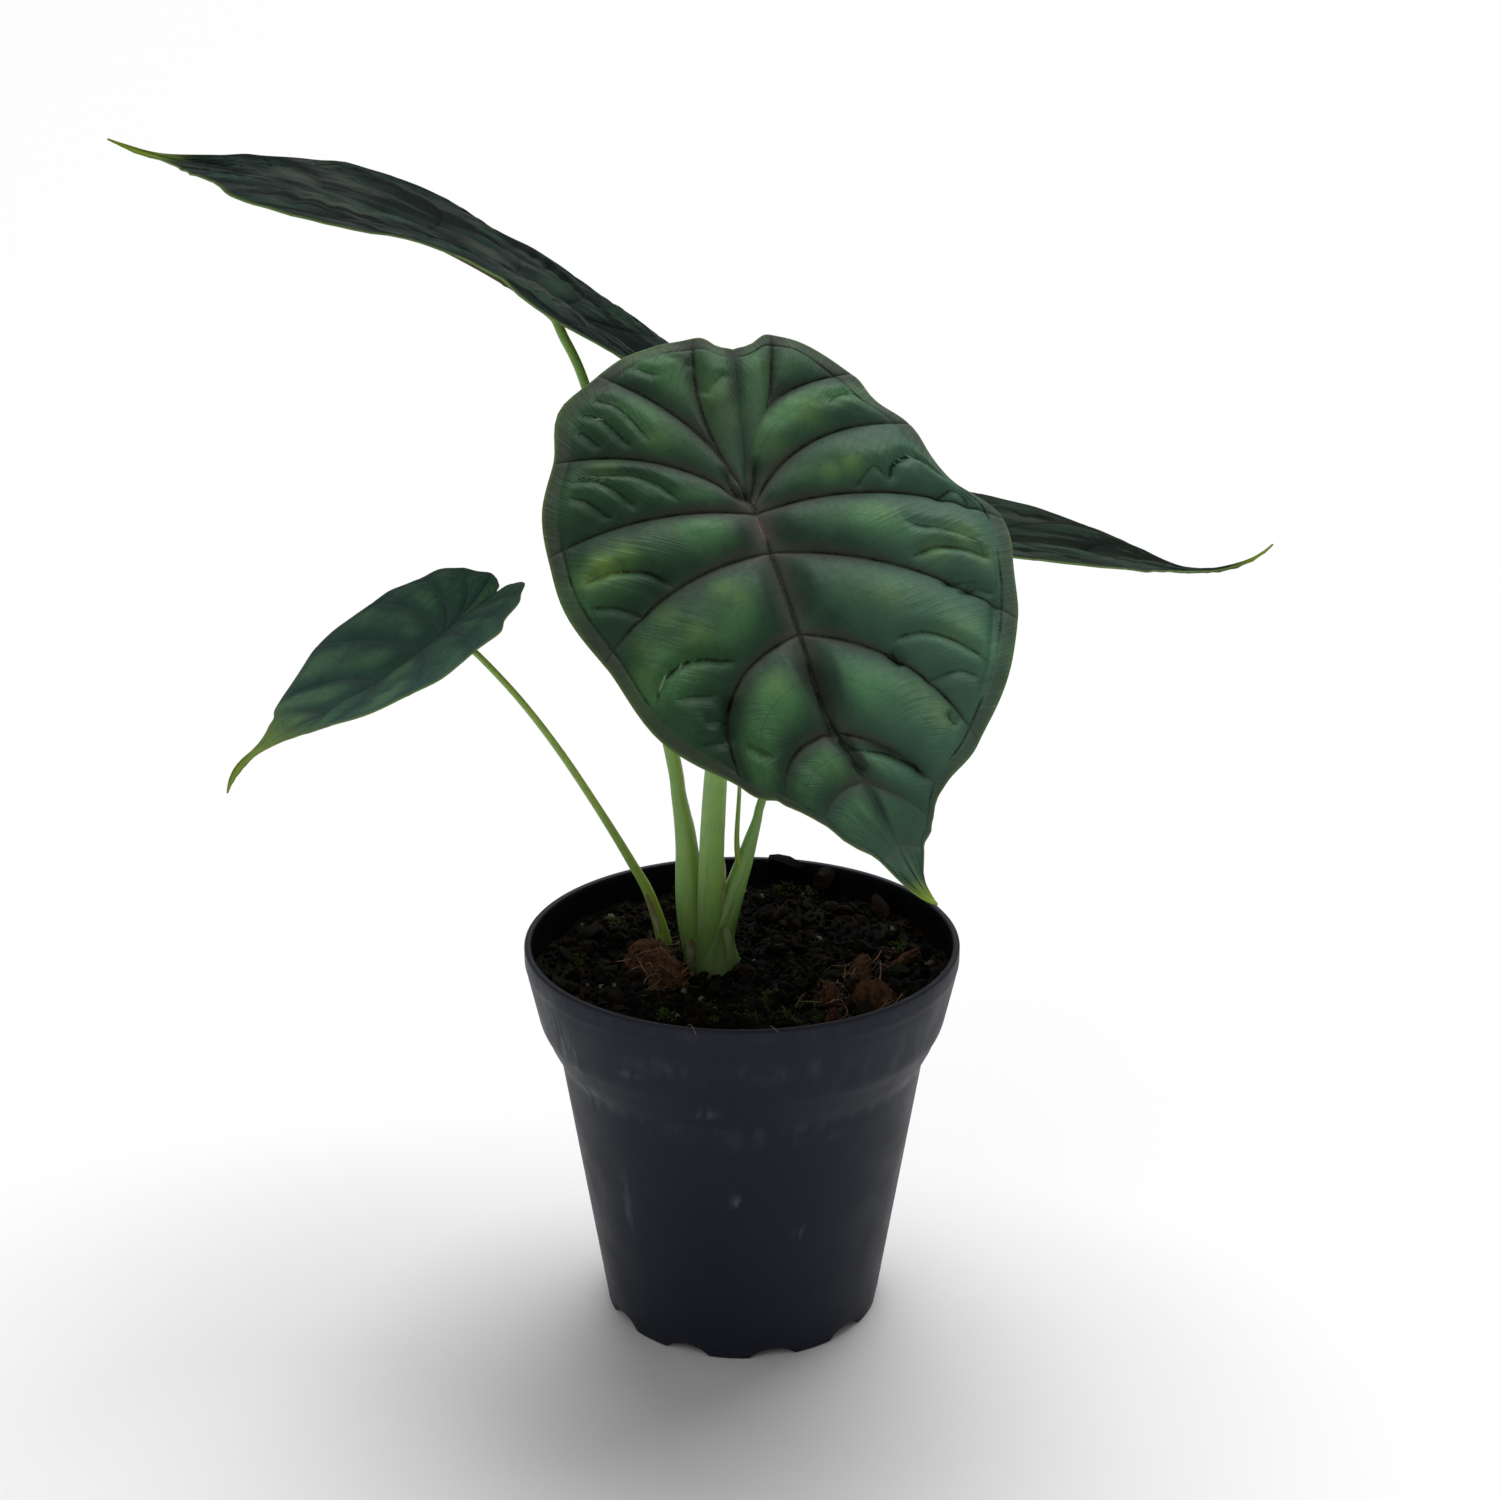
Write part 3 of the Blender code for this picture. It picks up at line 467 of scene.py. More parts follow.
# Larger pieces of bark seen one by one, behind the crown, at the far rim and in front: place (across,
# back), lift and three half lengths in millimetres
BARK_SEEN = [(13, 53.5, 6.5, 7, 3, 2.6), (24, 50, 5, 4, 3, 2), (40, 34, 2.5, 5, 4, 2.5),
             (-34, -22, 1, 4, 3, 2), (32, -28, 1, 5, 3.4, 2.2), (12, -40, 0.6, 4, 3, 2),
             (-44, 18, 1.5, 5, 3.6, 2.6), (34, 8, 1.4, 4, 3, 2.4)]
PEAT_TONES = (0.0004, 0.0003, 0.0002), (0.0022, 0.0016, 0.0011)
BARK_TONE = (0.013, 0.0065, 0.003)
GREEN_TONE = (0.010, 0.016, 0.004)
GRIT_TONE = (0.20, 0.18, 0.14)


def soil_height(x, y):
    """The top of the mix: three waves of shallow lumps, a dip round the crown, a slow rise to the back."""
    lumps = (np.sin(x / (9 * MM) + 1.3) * np.cos(y / (7 * MM) - 0.4)
             + 0.7 * np.sin(x / (4.3 * MM) - y / (5.1 * MM) + 2.0)
             + 0.5 * np.cos(x / (3.1 * MM) + y / (3.7 * MM)))
    apart = (x - CROWN_PLACE[0]) ** 2 + (y - CROWN_PLACE[1]) ** 2
    crown_dip = 2.6 * MM * np.exp(-apart / (15 * MM) ** 2)
    return SOIL_LEVEL + SOIL_LUMP * lumps / 1.6 - crown_dip + y * SOIL_RISE


def crumb_relief(x, y):
    """Crumbs on the mix's own surface: value noise at three sizes, sharpened where it peaks."""
    coarse, middle, fine = (value_noise(x / (size * MM), y / (size * MM), 0, seed)
                            for size, seed in ((3.4, 21), (1.5, 22), (0.8, 23)))
    return ((coarse - 0.5) * 1.8 + (middle - 0.5) * 1.3 + (fine - 0.5) * 0.6) * MM


mix_foot = POT_WALL + 0.3 * MM
mix_heights = np.array([mix_foot, mix_foot, 4.8 * MM, 4.8 * MM, *np.linspace(10, 96, 24) * MM])
mix_radii = np.concatenate([[0, 18 * MM, 19 * MM], pot_inner_radius(mix_heights[3:]) - SOIL_GAP])
around = np.linspace(0, TURN, SOIL_SEGMENTS, endpoint=False)
top_share = np.linspace(1, 0, SOIL_RINGS)[:, None]
mix_radius = np.concatenate([mix_radii[:, None], (pot_inner_radius(SOIL_LEVEL) - SOIL_GAP) * top_share])
mix_x, mix_y = mix_radius * np.cos(around), mix_radius * np.sin(around)
top_x, top_y = mix_x[-SOIL_RINGS:], mix_y[-SOIL_RINGS:]
top_z = soil_height(top_x, top_y) + crumb_relief(top_x, top_y) * smooth_step(top_share, 1.0, 0.97)
top_z[-1] = top_z[-1].mean()
mix_z = np.concatenate([mix_heights[:, None] * np.ones_like(around), top_z])
brown_spots = smooth_step(value_noise(mix_x / (5 * MM), mix_y / (5 * MM), 0, 25), 0.6, 0.85)
green_spots = smooth_step(value_noise(mix_x / (7 * MM), mix_y / (7 * MM), 0, 24), 0.62, 0.8)

peat = Look("peat_and_bark", PEAT_TONES[1], 0.9)
browner, greener, paler = peat.marks("crumb_marks")
grain = peat.noise(peat.place(), 700, 5, 0.65)
tone = peat.blend(peat.ramp(grain, 0.35, 0.7), *PEAT_TONES)
tone = peat.tint(tone, browner, 0.7, BARK_TONE)
tone = peat.tint(tone, greener, 0.3, GREEN_TONE)
tone = peat.blend(paler, tone, GRIT_TONE)
peat.feed(Base_Color=tone, Roughness=peat.ramp(grain, 0.3, 0.7, 0.75, 0.95), Specular_IOR_Level=0.06)
peat.raise_by(grain, 0.0004, 0.8)

mix = new_piece("potting_mix_body", triples(mix_x, mix_y, mix_z), grid_faces(len(mix_z), SOIL_SEGMENTS, True),
                peat, [("crumb_marks", triples(brown_spots, green_spots, 0))], sharp_deg=70)
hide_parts("potting_mix")
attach(mix, "root")


def unit(vectors):
    """Vectors cut to length 1."""
    return vectors / np.linalg.norm(vectors, axis=-1, keepdims=True)


def round_solid(level):
    """Points and faces of a ball of radius 1: an icosahedron, each face cut in four level times."""
    golden = (1 + math.sqrt(5)) / 2
    points = np.array([(-1, golden, 0), (1, golden, 0), (-1, -golden, 0), (1, -golden, 0), (0, -1, golden),
                       (0, 1, golden), (0, -1, -golden), (0, 1, -golden), (golden, 0, -1), (golden, 0, 1),
                       (-golden, 0, -1), (-golden, 0, 1)])
    faces = np.array([(0, 11, 5), (0, 5, 1), (0, 1, 7), (0, 7, 10), (0, 10, 11), (1, 5, 9), (5, 11, 4),
                      (11, 10, 2), (10, 7, 6), (7, 1, 8), (3, 9, 4), (3, 4, 2), (3, 2, 6), (3, 6, 8),
                      (3, 8, 9), (4, 9, 5), (2, 4, 11), (6, 2, 10), (8, 6, 7), (9, 8, 1)])
    points = points / np.linalg.norm(points[0])
    for _ in range(level):
        a, b, c = points[faces[:, 0]], points[faces[:, 1]], points[faces[:, 2]]
        halves = [unit(p + q) for p, q in ((a, b), (b, c), (c, a))]
        soup = np.stack([a, halves[0], halves[2], b, halves[1], halves[0], c, halves[2], halves[1],
                         halves[0], halves[1], halves[2]], axis=1).reshape(-1, 3)
        _, first, index = np.unique(np.round(soup * 1e6), axis=0, return_index=True, return_inverse=True)
        points, faces = soup[first], index.reshape(-1, 3)
    return points, faces


def scattered_lumps(places, sizes, level, rng, roughness):
    """One lump at each place: a ball with uneven points, stretched and turned at random. sizes are three
    half lengths. Returns points and faces of all of them together."""
    ball, ball_faces = round_solid(level)
    count = len(places)
    uneven = ball[None] * (1 + roughness * rng.uniform(-1, 1, (count, len(ball), 1)))
    turns = rng.normal(size=(count, 3, 3))
    turns = np.linalg.qr(turns)[0]
    turns *= np.sign(np.linalg.det(turns))[:, None, None]
    lumps = np.einsum("nij,npj->npi", turns, uneven * sizes[:, None, :]) + places[:, None, :]
    faces = ball_faces[None] + (np.arange(count) * len(ball))[:, None, None]
    return lumps.reshape(-1, 3), faces.reshape(-1, 3)


def on_soil(x, y, lift):
    """Places on the top of the mix, raised by lift."""
    return np.stack([x, y, soil_height(x, y) + crumb_relief(x, y) + lift], axis=1)


rng = np.random.default_rng(7)
spread = np.sqrt(rng.uniform(0, 1, SMALL_CRUMBS)) * CRUMB_REACH
bearing = rng.uniform(0, TURN, SMALL_CRUMBS)
crumb_size = rng.uniform(0.35, 1.15, (SMALL_CRUMBS, 1)) * rng.uniform(0.6, 1.3, (SMALL_CRUMBS, 3)) * MM
crumb_places = on_soil(spread * np.cos(bearing), spread * np.sin(bearing), 0.2 * MM)
crumb_points, crumb_faces = scattered_lumps(crumb_places, crumb_size, 0, rng, 0.25)
crumb_kind = triples(rng.uniform(0, 1, SMALL_CRUMBS) ** 3, rng.uniform(0, 1, SMALL_CRUMBS) ** 5,
                     (rng.uniform(0, 1, SMALL_CRUMBS) > 0.975) * 0.6)
per_crumb = len(crumb_points) // SMALL_CRUMBS
crumbs = new_piece("peat_crumbs", crumb_points, crumb_faces, peat,
                   [("crumb_marks", np.repeat(crumb_kind, per_crumb, 0))], sharp_deg=20)
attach(crumbs, "root")

spread = np.sqrt(rng.uniform(0.02, 1, BARK_PIECES)) * BARK_REACH
bearing = rng.uniform(0, TURN, BARK_PIECES)
bark_size = rng.uniform(1.0, 2.6, (BARK_PIECES, 1)) * np.array([1.3, 0.9, 0.6]) * MM
bark_places = on_soil(spread * np.cos(bearing), spread * np.sin(bearing), 0.5 * MM)
seen = np.array(BARK_SEEN) * MM
bark_places = np.concatenate([bark_places, on_soil(seen[:, 0], seen[:, 1], seen[:, 2])])
bark_size = np.concatenate([bark_size, seen[:, 3:]])
bark_points, bark_faces = scattered_lumps(bark_places, bark_size, 1, rng, 0.16)
bark_kind = triples(rng.uniform(0, 1, len(bark_size)) ** 1.5, rng.uniform(0, 1, len(bark_size)) ** 3, 0)
per_piece = len(bark_points) // len(bark_size)
bark = new_piece("bark_pieces", bark_points, bark_faces, peat,
                 [("crumb_marks", np.repeat(bark_kind, per_piece, 0))], sharp_deg=28)
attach(bark, "root")


# Coir: reddish-brown husk lumps left of the crown and to the right, each a tangle of stiff pale
# fibres. A few loose fibres lie over the rim of the pot.
HUSK_TONES = (0.010, 0.0038, 0.0016), (0.085, 0.036, 0.015)
STRAW_TONE = (0.26, 0.17, 0.10)
# Husk lumps: place (across, back), lift and three half lengths in millimetres
COIR_LUMPS = [(-21, -9, 2.2, 8, 7, 4), (-26, 2, 2.4, 8, 7, 4.2), (32, -6, 0.8, 8, 6, 2.6),
              (44, 4, 0.6, 7, 5, 2.4), (24, -20, 0.4, 6, 5, 2), (36, -24, 0.8, 8, 6, 2.6),
              (24, -36, 0.4, 6, 5, 2)]
FIBRES_PER_LUMP = 46
FIBRE_RADIUS = 0.11 * MM
FIBRE_REACH = 55 * MM
FIBRE_TAPER = [0.5, 0.8, 1, 1, 1, 1, 1, 0.8, 0.5]
RIM_FIBRES = [
    [(-12, -46, 103.5), (-8, -49, 105), (-5, -53, 106), (-2, -56.5, 108.5), (0.5, -57.6, 109.6)],
    [(-15, -50, 105), (-13.5, -55.5, 109.8), (-12.5, -58.8, 111), (-11.4, -60.7, 109.6)],
    [(7, -53, 106), (7.3, -57, 110.2), (8.2, -59.4, 110.9), (9.6, -60.6, 110.1)],
]

coir = Look("coir", HUSK_TONES[1], 0.85)
straw, _, _ = coir.marks("coir_marks")
shred = coir.noise(coir.place(), 500, 5, 0.7)
tone = coir.blend(coir.ramp(shred, 0.35, 0.65), *HUSK_TONES)
coir.feed(Base_Color=coir.blend(straw, tone, STRAW_TONE), Specular_IOR_Level=0.1)
coir.raise_by(shred, 0.0006, 0.9)


def many_tubes(paths, radii, sides):
    """Thin round tubes along many paths at once. Each ring is square to its path, and both ends close."""
    ahead = unit(np.gradient(paths, axis=1))
    side = unit(np.cross(ahead, np.array([0.21, 0.35, 0.91])))
    other = np.cross(ahead, side)
    around = np.linspace(0, TURN, sides, endpoint=False)
    rings = (paths[:, :, None] + radii[..., None, None] * (np.cos(around)[:, None] * side[:, :, None]
                                                         + np.sin(around)[:, None] * other[:, :, None]))
    first = np.repeat(paths[:, :1, None], sides, axis=2)
    last = np.repeat(paths[:, -1:, None], sides, axis=2)
    rings = np.concatenate([first, rings, last], axis=1)
    count, rows = rings.shape[:2]
    faces = grid_faces(rows, sides, True)[None] + (np.arange(count) * rows * sides)[:, None, None]
    return rings.reshape(-1, 3), faces.reshape(-1, 3)


lumps = np.array(COIR_LUMPS) * MM
husk_places = on_soil(lumps[:, 0], lumps[:, 1], lumps[:, 2] * 0.3)
husk_points, husk_faces = scattered_lumps(husk_places, lumps[:, 3:], 3, rng, 0.10)
lowest = on_soil(husk_points[:, 0], husk_points[:, 1], -3 * MM)[:, 2]
husk_points[:, 2] = np.maximum(husk_points[:, 2], lowest)
owner = lumps[np.repeat(np.arange(len(lumps)), FIBRES_PER_LUMP)]
fibre_count = len(owner)
heart = on_soil(owner[:, 0], owner[:, 1], owner[:, 2] * 0.6)
start = heart + rng.normal(size=(fibre_count, 3)) * owner[:, 3:] * np.array([0.55, 0.55, 0.75])
start[:, 2] = np.maximum(start[:, 2], heart[:, 2])
heading = unit(rng.normal(size=(fibre_count, 3)) * np.array([1, 1, 0.35]))
bow = rng.normal(size=(fibre_count, 3)) * np.array([1, 1, 0.4])
reach = rng.uniform(3, 9, fibre_count)[:, None, None] * MM
t = np.linspace(-0.5, 0.5, len(FIBRE_TAPER))[None, :, None]
fibre_paths = start[:, None] + heading[:, None] * (t * reach) + bow[:, None] * (t ** 2 * reach * 0.9)
from_axis = np.hypot(fibre_paths[..., 0], fibre_paths[..., 1])
fibre_paths[..., :2] *= np.minimum(1, FIBRE_REACH / from_axis)[..., None]
fibre_radii = FIBRE_RADIUS * rng.uniform(0.7, 1.5, (fibre_count, 1)) * np.array(FIBRE_TAPER)
fibre_points, fibre_faces = many_tubes(fibre_paths, fibre_radii, 5)


def even_points(knots, count):
    """Points evenly spaced along the smooth curve through some knots given in millimetres."""
    line, at = smooth_line([(*(np.array(knot) * MM), 0) for knot in knots], 0.3 * MM)
    places = np.linspace(0, at[-1], count)
    return np.stack([np.interp(places, at, line[:, k]) for k in range(3)], axis=1)


rim_paths = np.stack([even_points(knots, 24) for knots in RIM_FIBRES])
rim_radii = FIBRE_RADIUS * np.array([0.4, *[0.75] * 22, 0.4])[None] * np.ones((len(rim_paths), 1))
rim_points, rim_faces = many_tubes(rim_paths, rim_radii, 6)
coir_points = np.concatenate([husk_points, fibre_points, rim_points])
coir_faces = np.concatenate([husk_faces, fibre_faces + len(husk_points),
                             rim_faces + len(husk_points) + len(fibre_points)])
fibre_straw = np.repeat(rng.uniform(0.05, 0.95, fibre_count) ** 1.5, len(fibre_points) // fibre_count)
straw_share = np.concatenate([np.zeros(len(husk_points)), fibre_straw, np.full(len(rim_points), 0.75)])
husk = new_piece("coir_and_fibres", coir_points, coir_faces, coir,
                 [("coir_marks", triples(straw_share, 0, 0))], sharp_deg=45)
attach(husk, "root")


# Moss: low cushions of tiny pointed leaves that grow on the damp mix near the rim and round the crown,
# bright green at the tips, each leaf a small folded blade rooted in the mix.
# Cushions: place (across, back) and radius in millimetres
MOSS_CUSHIONS = [(-8, -22, 3.4), (-1, -25, 3.6), (6, -22, 3.4), (12, -27, 3.6), (18, -23, 3.2),
                 (3, -31, 3.4), (-6, -31, 3), (14, -34, 3.2), (22, -32, 3), (8, -16, 2.6),
                 (-20, -30, 2.6), (28, -30, 2.6), (12, 52, 4), (20, 50, 4.2), (-38, 28, 3),
                 (-36, -18, 2.4), (44, 14, 2.6), (-46, 4, 2.4)]
LEAVES_PER_CUSHION = 80
MOSS_REACH = 56 * MM
MOSS_TONES = (0.005, 0.010, 0.002), (0.032, 0.058, 0.009)
DRY_MOSS_TONE = (0.065, 0.058, 0.022)
# Along one leaf of moss: share of its height, radius in millimetres, and share of the tip's colour,
# which also counts the two closed ends
MOSS_RISE = np.array([0, 0.35, 0.75, 1.0])[:, None]
MOSS_RADII = np.array([0.22, 0.34, 0.26, 0.05])
MOSS_TIP = [0, 0, 0.35, 0.8, 1, 1]

moss = Look("moss", MOSS_TONES[1], 0.7)
tip, dry, _ = moss.marks("moss_marks")
moss.feed(Base_Color=moss.blend(dry, moss.blend(tip, *MOSS_TONES), DRY_MOSS_TONE), Specular_IOR_Level=0.1)
moss.raise_by(moss.noise(moss.place(), 1500, 2), 0.0001)

cushion = np.repeat(np.array(MOSS_CUSHIONS) * MM, LEAVES_PER_CUSHION, 0)
leaf_count = len(cushion)
scatter = rng.normal(size=(leaf_count, 2)) * cushion[:, 2:] * 0.55
roots = on_soil(cushion[:, 0] + scatter[:, 0], cushion[:, 1] + scatter[:, 1], -0.3 * MM)
roots[:, :2] *= np.minimum(1, MOSS_REACH / np.hypot(roots[:, 0], roots[:, 1]))[:, None]
dome = np.exp(-(scatter ** 2).sum(1) / (cushion[:, 2] * 0.9) ** 2)
lean = unit(np.concatenate([rng.normal(size=(leaf_count, 2)) * 0.5, np.ones((leaf_count, 1))], axis=1))
tall = (0.5 + 1.5 * dome) * rng.uniform(0.6, 1.2, leaf_count) * MM
droop = rng.normal(size=(leaf_count, 3)) * np.array([1, 1, 0.2]) * 0.35
moss_course = lean[:, None] * MOSS_RISE + droop[:, None] * MOSS_RISE ** 2
moss_radii = MOSS_RADII * rng.uniform(0.6, 1.2, (leaf_count, 1)) * MM
moss_points, moss_faces = many_tubes(roots[:, None] + moss_course * tall[:, None, None], moss_radii, 4)
tip_share = np.tile(np.repeat(MOSS_TIP, 4), leaf_count)
dryness = np.repeat(rng.uniform(0, 1, leaf_count) ** 4, len(moss_points) // leaf_count)
moss_piece = new_piece("moss", moss_points, moss_faces, moss,
                       [("moss_marks", triples(tip_share, dryness, 0))], sharp_deg=60)
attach(moss_piece, "root")


# Stems: round, fleshy and pale green, yellower on one side, with faint lines along them. Three go on
# from clasping bases in the crown and one stands alone in the mix. Each runs on into its leaf's midrib.
SHEATH_TOP = 143 * MM
STEM_SIDES = 32
STEM_GREENS = (0.140, 0.300, 0.060), (0.200, 0.400, 0.085)
PALE_GREEN, WARM_GREEN = (0.250, 0.460, 0.140), (0.260, 0.360, 0.030)
MOTTLED_GREEN, SHADED_GREEN = (0.125, 0.230, 0.090), (0.040, 0.085, 0.022)
DRY_TONES = (0.20, 0.14, 0.075), (0.46, 0.40, 0.28)
# How pale and how yellow each stem is
STEM_TINTS = {"upper_left": (0.3, 0.8), "front": (0.6, 0.5), "right": (0.1, 0.2), "lower_left": (0.7, 1.5)}
# Each stem from its root up: place and radius in millimetres
STEM_KNOTS = {
    "upper_left": [(-11, 5.8, 92, 3.8), (-12.5, 6, 103, 4.1), (-14.5, 6.1, 117.4, 3.9),
                   (-15.4, 6.7, 135.7, 3.0), (-17.3, 7.3, 149, 2.1), (-19, 9.1, 160, 2.0),
                   (-27.5, 16.6, 197.7, 1.8), (-34.8, 32.0, 229.9, 1.6), (-43.6, 49.0, 255.3, 1.35)],
    "front": [(-8.6, 4.6, 92, 3.6), (-9, 3.4, 103, 3.6), (-8.8, 1.9, 120.4, 3.5), (-8.2, -0.7, 136.7, 3.4),
              (-7.4, -3.8, 153, 3.2), (-5.7, -9.1, 176.4, 2.8), (-3.5, -17.2, 201, 2.4),
              (-0.9, -28.2, 222.3, 2.0)],
    "right": [(-6.7, 5, 90, 6.6), (-6.9, 4.6, 98, 6.9), (-6.7, 4.3, 108, 4.7), (-3.1, 4, 119.4, 3.3),
              (0.6, 4.7, 130.6, 2.4), (2.4, 5.1, 136.7, 1.9), (4.1, 5.4, 142.5, 1.35), (5.5, 6.3, 148, 1.2),
              (13.1, 10.9, 169.4, 1.1), (21.2, 16.6, 190.5, 1.0), (27.9, 21.3, 208.9, 1.0)],
    "lower_left": [(-21.2, 17, 86, 2.3), (-21.9, 16.3, 100, 2.2), (-25.8, 13.5, 116.4, 1.6),
                   (-30.9, 11.1, 128, 1.3), (-39, 7.5, 144.3, 1.1), (-49.1, 2.7, 163.3, 1.0),
                   (-59, -1.9, 179.5, 0.9), (-69.3, -4.4, 192.6, 0.85)],
}
# Where each leaf is carried: its hub in millimetres, then heading, pitch and roll in degrees
LEAF_SEATS = {
    "front": ((2.7, -42.6, 242.7), 27.4, 38.9, 12.6),
    "upper_left": ((-50.2, 57.8, 273.1), -108.6, -31.1, 9.0),
    "right": ((32.1, 21.6, 221.8), 93.5, 6.4, -6.4),
    "lower_left": ((-78.1, -1.9, 198.8), -57.5, 30, 1.9),
}

flesh = Look("stem_flesh", (0.20, 0.36, 0.14), 0.42)
pale, warm, papery = flesh.marks("stem_marks")
fibre = flesh.noise(flesh.place("UV"), 1.0, 3, 0.6, (9, 14, 1))
mottle = flesh.noise(flesh.place(), 220, 4)
tone = flesh.blend(flesh.ramp(fibre, 0.3, 0.7), *STEM_GREENS)
tone = flesh.blend(pale, tone, PALE_GREEN)
tone = flesh.blend(warm, tone, WARM_GREEN)
tone = flesh.tint(tone, flesh.ramp(mottle, 0.45, 0.75), 0.35, MOTTLED_GREEN)
tone = flesh.blend(papery, tone, flesh.blend(flesh.ramp(mottle, 0.35, 0.65), *DRY_TONES))
# The flesh darkens low down in the pot's shade, and less so beside the crown on the left
spot = flesh.node("ShaderNodeSeparateXYZ")
flesh.join(flesh.place(), spot.inputs["Vector"])
beside_crown = flesh.plus(flesh.times(spot.outputs["X"], -4.0), -0.068)
lit_level = flesh.plus(spot.outputs["Z"], flesh.maths("MAXIMUM", beside_crown))
tone = flesh.blend(flesh.ramp(lit_level, 0.098, 0.128, 0.82, 0.0), tone, SHADED_GREEN)
flesh.feed(Base_Color=tone, Roughness=flesh.ramp(mottle, 0.3, 0.7, 0.36, 0.50), Subsurface_Weight=0.12,
           Subsurface_Scale=0.003)
flesh.shader.inputs["Subsurface Radius"].default_value = (0.4, 0.7, 0.25)
flesh.raise_by(fibre, 0.00015, 0.6)

stem_round = np.linspace(0, TURN, STEM_SIDES, endpoint=False)


def leaf_axes(name):
    """Unit vectors at a leaf's hub: along the midrib, across the blade, and out of its upper face."""
    heading, pitch, roll = (math.radians(angle) for angle in LEAF_SEATS[name][1:])
    level = np.array([math.sin(heading), -math.cos(heading), 0])
    along = level * math.cos(pitch) - np.array([0, 0, math.sin(pitch)])
    up = level * math.sin(pitch) + np.array([0, 0, math.cos(pitch)])
    across = np.cross(up, along)
    return along, across * math.cos(roll) + up * math.sin(roll), up * math.cos(roll) - across * math.sin(roll)


def stem_line(name, spacing):
    """Rows of (x, y, z, radius) from a stem's root, up to the hub and a little way under the midrib, and
    how far along each row is."""
    along, _, up = leaf_axes(name)
    hub = np.array(LEAF_SEATS[name][0]) * MM
    knots = [tuple(np.array(knot) * MM) for knot in STEM_KNOTS[name]]
    last = knots[-1][3]
    under = hub - up * (1.5 * MM + 0.95 * last)
    arrival = under - np.array(knots[-1][:3])
    knots.append((*(under - unit(arrival) * 5 * MM), last))
    knots += [(*(under + (along * reach + up * rise) * MM), last * wide)
              for reach, rise, wide in ((0, 0, 1.0), (4, 0.3, 0.75), (9, 0.8, 0.4))]
    return smooth_line(knots, spacing)


def with_ends(values):
    """The values of a path's rings, with the first and last doubled for the poles that close a tube."""
    return np.concatenate([values[:1], values, values[-1:]])


def tube(path, radii):
    """Rings round a path, with one radius for each ring or one for each point of each ring. Each ring
    lies square to the path, its first point towards +X, and the two ends close to a pole."""
    ahead = unit(np.gradient(path, axis=0))
    side = unit(np.array([1.0, 0, 0]) - ahead * ahead[:, :1])
    other = np.cross(ahead, side)
    rings = path[:, None] + radii[..., None] * (np.cos(stem_round)[:, None] * side[:, None]
                                                + np.sin(stem_round)[:, None] * other[:, None])
    poles = np.repeat(path[[0, -1], None], STEM_SIDES, axis=1)
    return np.concatenate([poles[:1], rings, poles[1:]])


def stem_finish(far, pale_share, warm_share, dry_share, seed):
    """Marks and UV for a tube: a yellower side that faces +X and a little forward, blotches along it,
    and dry papery patches."""
    far = with_ends(far)[:, None]
    warm_side = 0.35 + 0.65 * np.clip(np.cos(stem_round + 0.5), 0, 1) ** 2
    blotch = value_noise(np.cos(stem_round) * 2, np.sin(stem_round) * 2, far / (8 * MM), seed)
    marks = triples(pale_share * (0.55 + 0.45 * blotch),
                    np.minimum(warm_share * warm_side * (0.5 + 0.5 * blotch), 1),
                    dry_share * smooth_step(blotch, 0.35, 0.7))
    flat = np.stack(np.broadcast_arrays(np.cos(stem_round), far / (100 * MM)), axis=-1)
    return marks, flat.reshape(-1, 2)


for index, name in enumerate(STEM_KNOTS):
    line, far = stem_line(name, 0.9 * MM)
    if name != "lower_left":
        cut_at = np.searchsorted(line[:, 2], SHEATH_TOP - 3 * MM)
        line, far = line[cut_at:], far[cut_at:]
        line[:4, 3] *= 0.97
    grid = tube(line[:, :3], line[:, 3, None] * (1 + 0.02 * np.cos(9 * stem_round)))
    marks, flat = stem_finish(far, *STEM_TINTS[name], 0.0, 40 + index)
    stem = new_piece("leaf_stem_" + name, grid.reshape(-1, 3), grid_faces(len(grid), STEM_SIDES, True), flesh,
                     [("stem_marks", marks)], flat)
    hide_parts("stem_" + name)
    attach(stem, "root")


# Crown: the clasping leaf bases, pale and fleshy, wrapped round each other above a corm in the mix, with
# the thin new shoot, a web of skin and a few papery dry strips between them. It all grew as one body.
SHOOT_KNOTS = [(-0.2, 3.8, 122, 1.3), (-0.2, 3.8, 126.5, 1.2), (-1.4, 2.9, 136.7, 0.75), (-0.7, 2, 152, 0.55),
               (-0.3, 0.5, 166.9, 0.3)]
CORM = (-7, 5, 91, 7.6)
LIP_HEIGHT = 0.45 * MM
GROOVE_DEPTH = 0.35 * MM
# The way each sheath's lip faces at its foot, in radians
LIP_TURNS = {"upper_left": -0.9, "front": 3.6, "right": 4.2}
# Thin strips: points along the middle, half width, and whether they are dry
STRIPS = [
    ([(-13.4, 1.9, 97), (-13.6, 1.5, 101), (-13.9, 1.2, 105), (-14.3, 0.9, 108.5)], 1.5, 1.0),
    ([(-5.6, 1.0, 117), (-5.2, 0.6, 122), (-5.0, 0.1, 128), (-5.2, -0.8, 134)], 0.9, 0.75),
    ([(-3.4, -1.2, 99), (-3.0, -1.7, 103), (-3.4, -1.6, 108), (-4.4, -0.9, 113)], 1.3, 0.35),
    ([(-23.4, 12.6, 106), (-24.2, 12.2, 110), (-25.3, 11.7, 114), (-26.6, 11.3, 118)], 0.8, 0.9),
]
STRIP_THICKNESS = 0.35 * MM
STRIP_POINTS = 14
STRIP_FACES = np.array([0.25, -1.0, 0.0])

crown_points, crown_faces, crown_marks, crown_flat = [], [], [], []


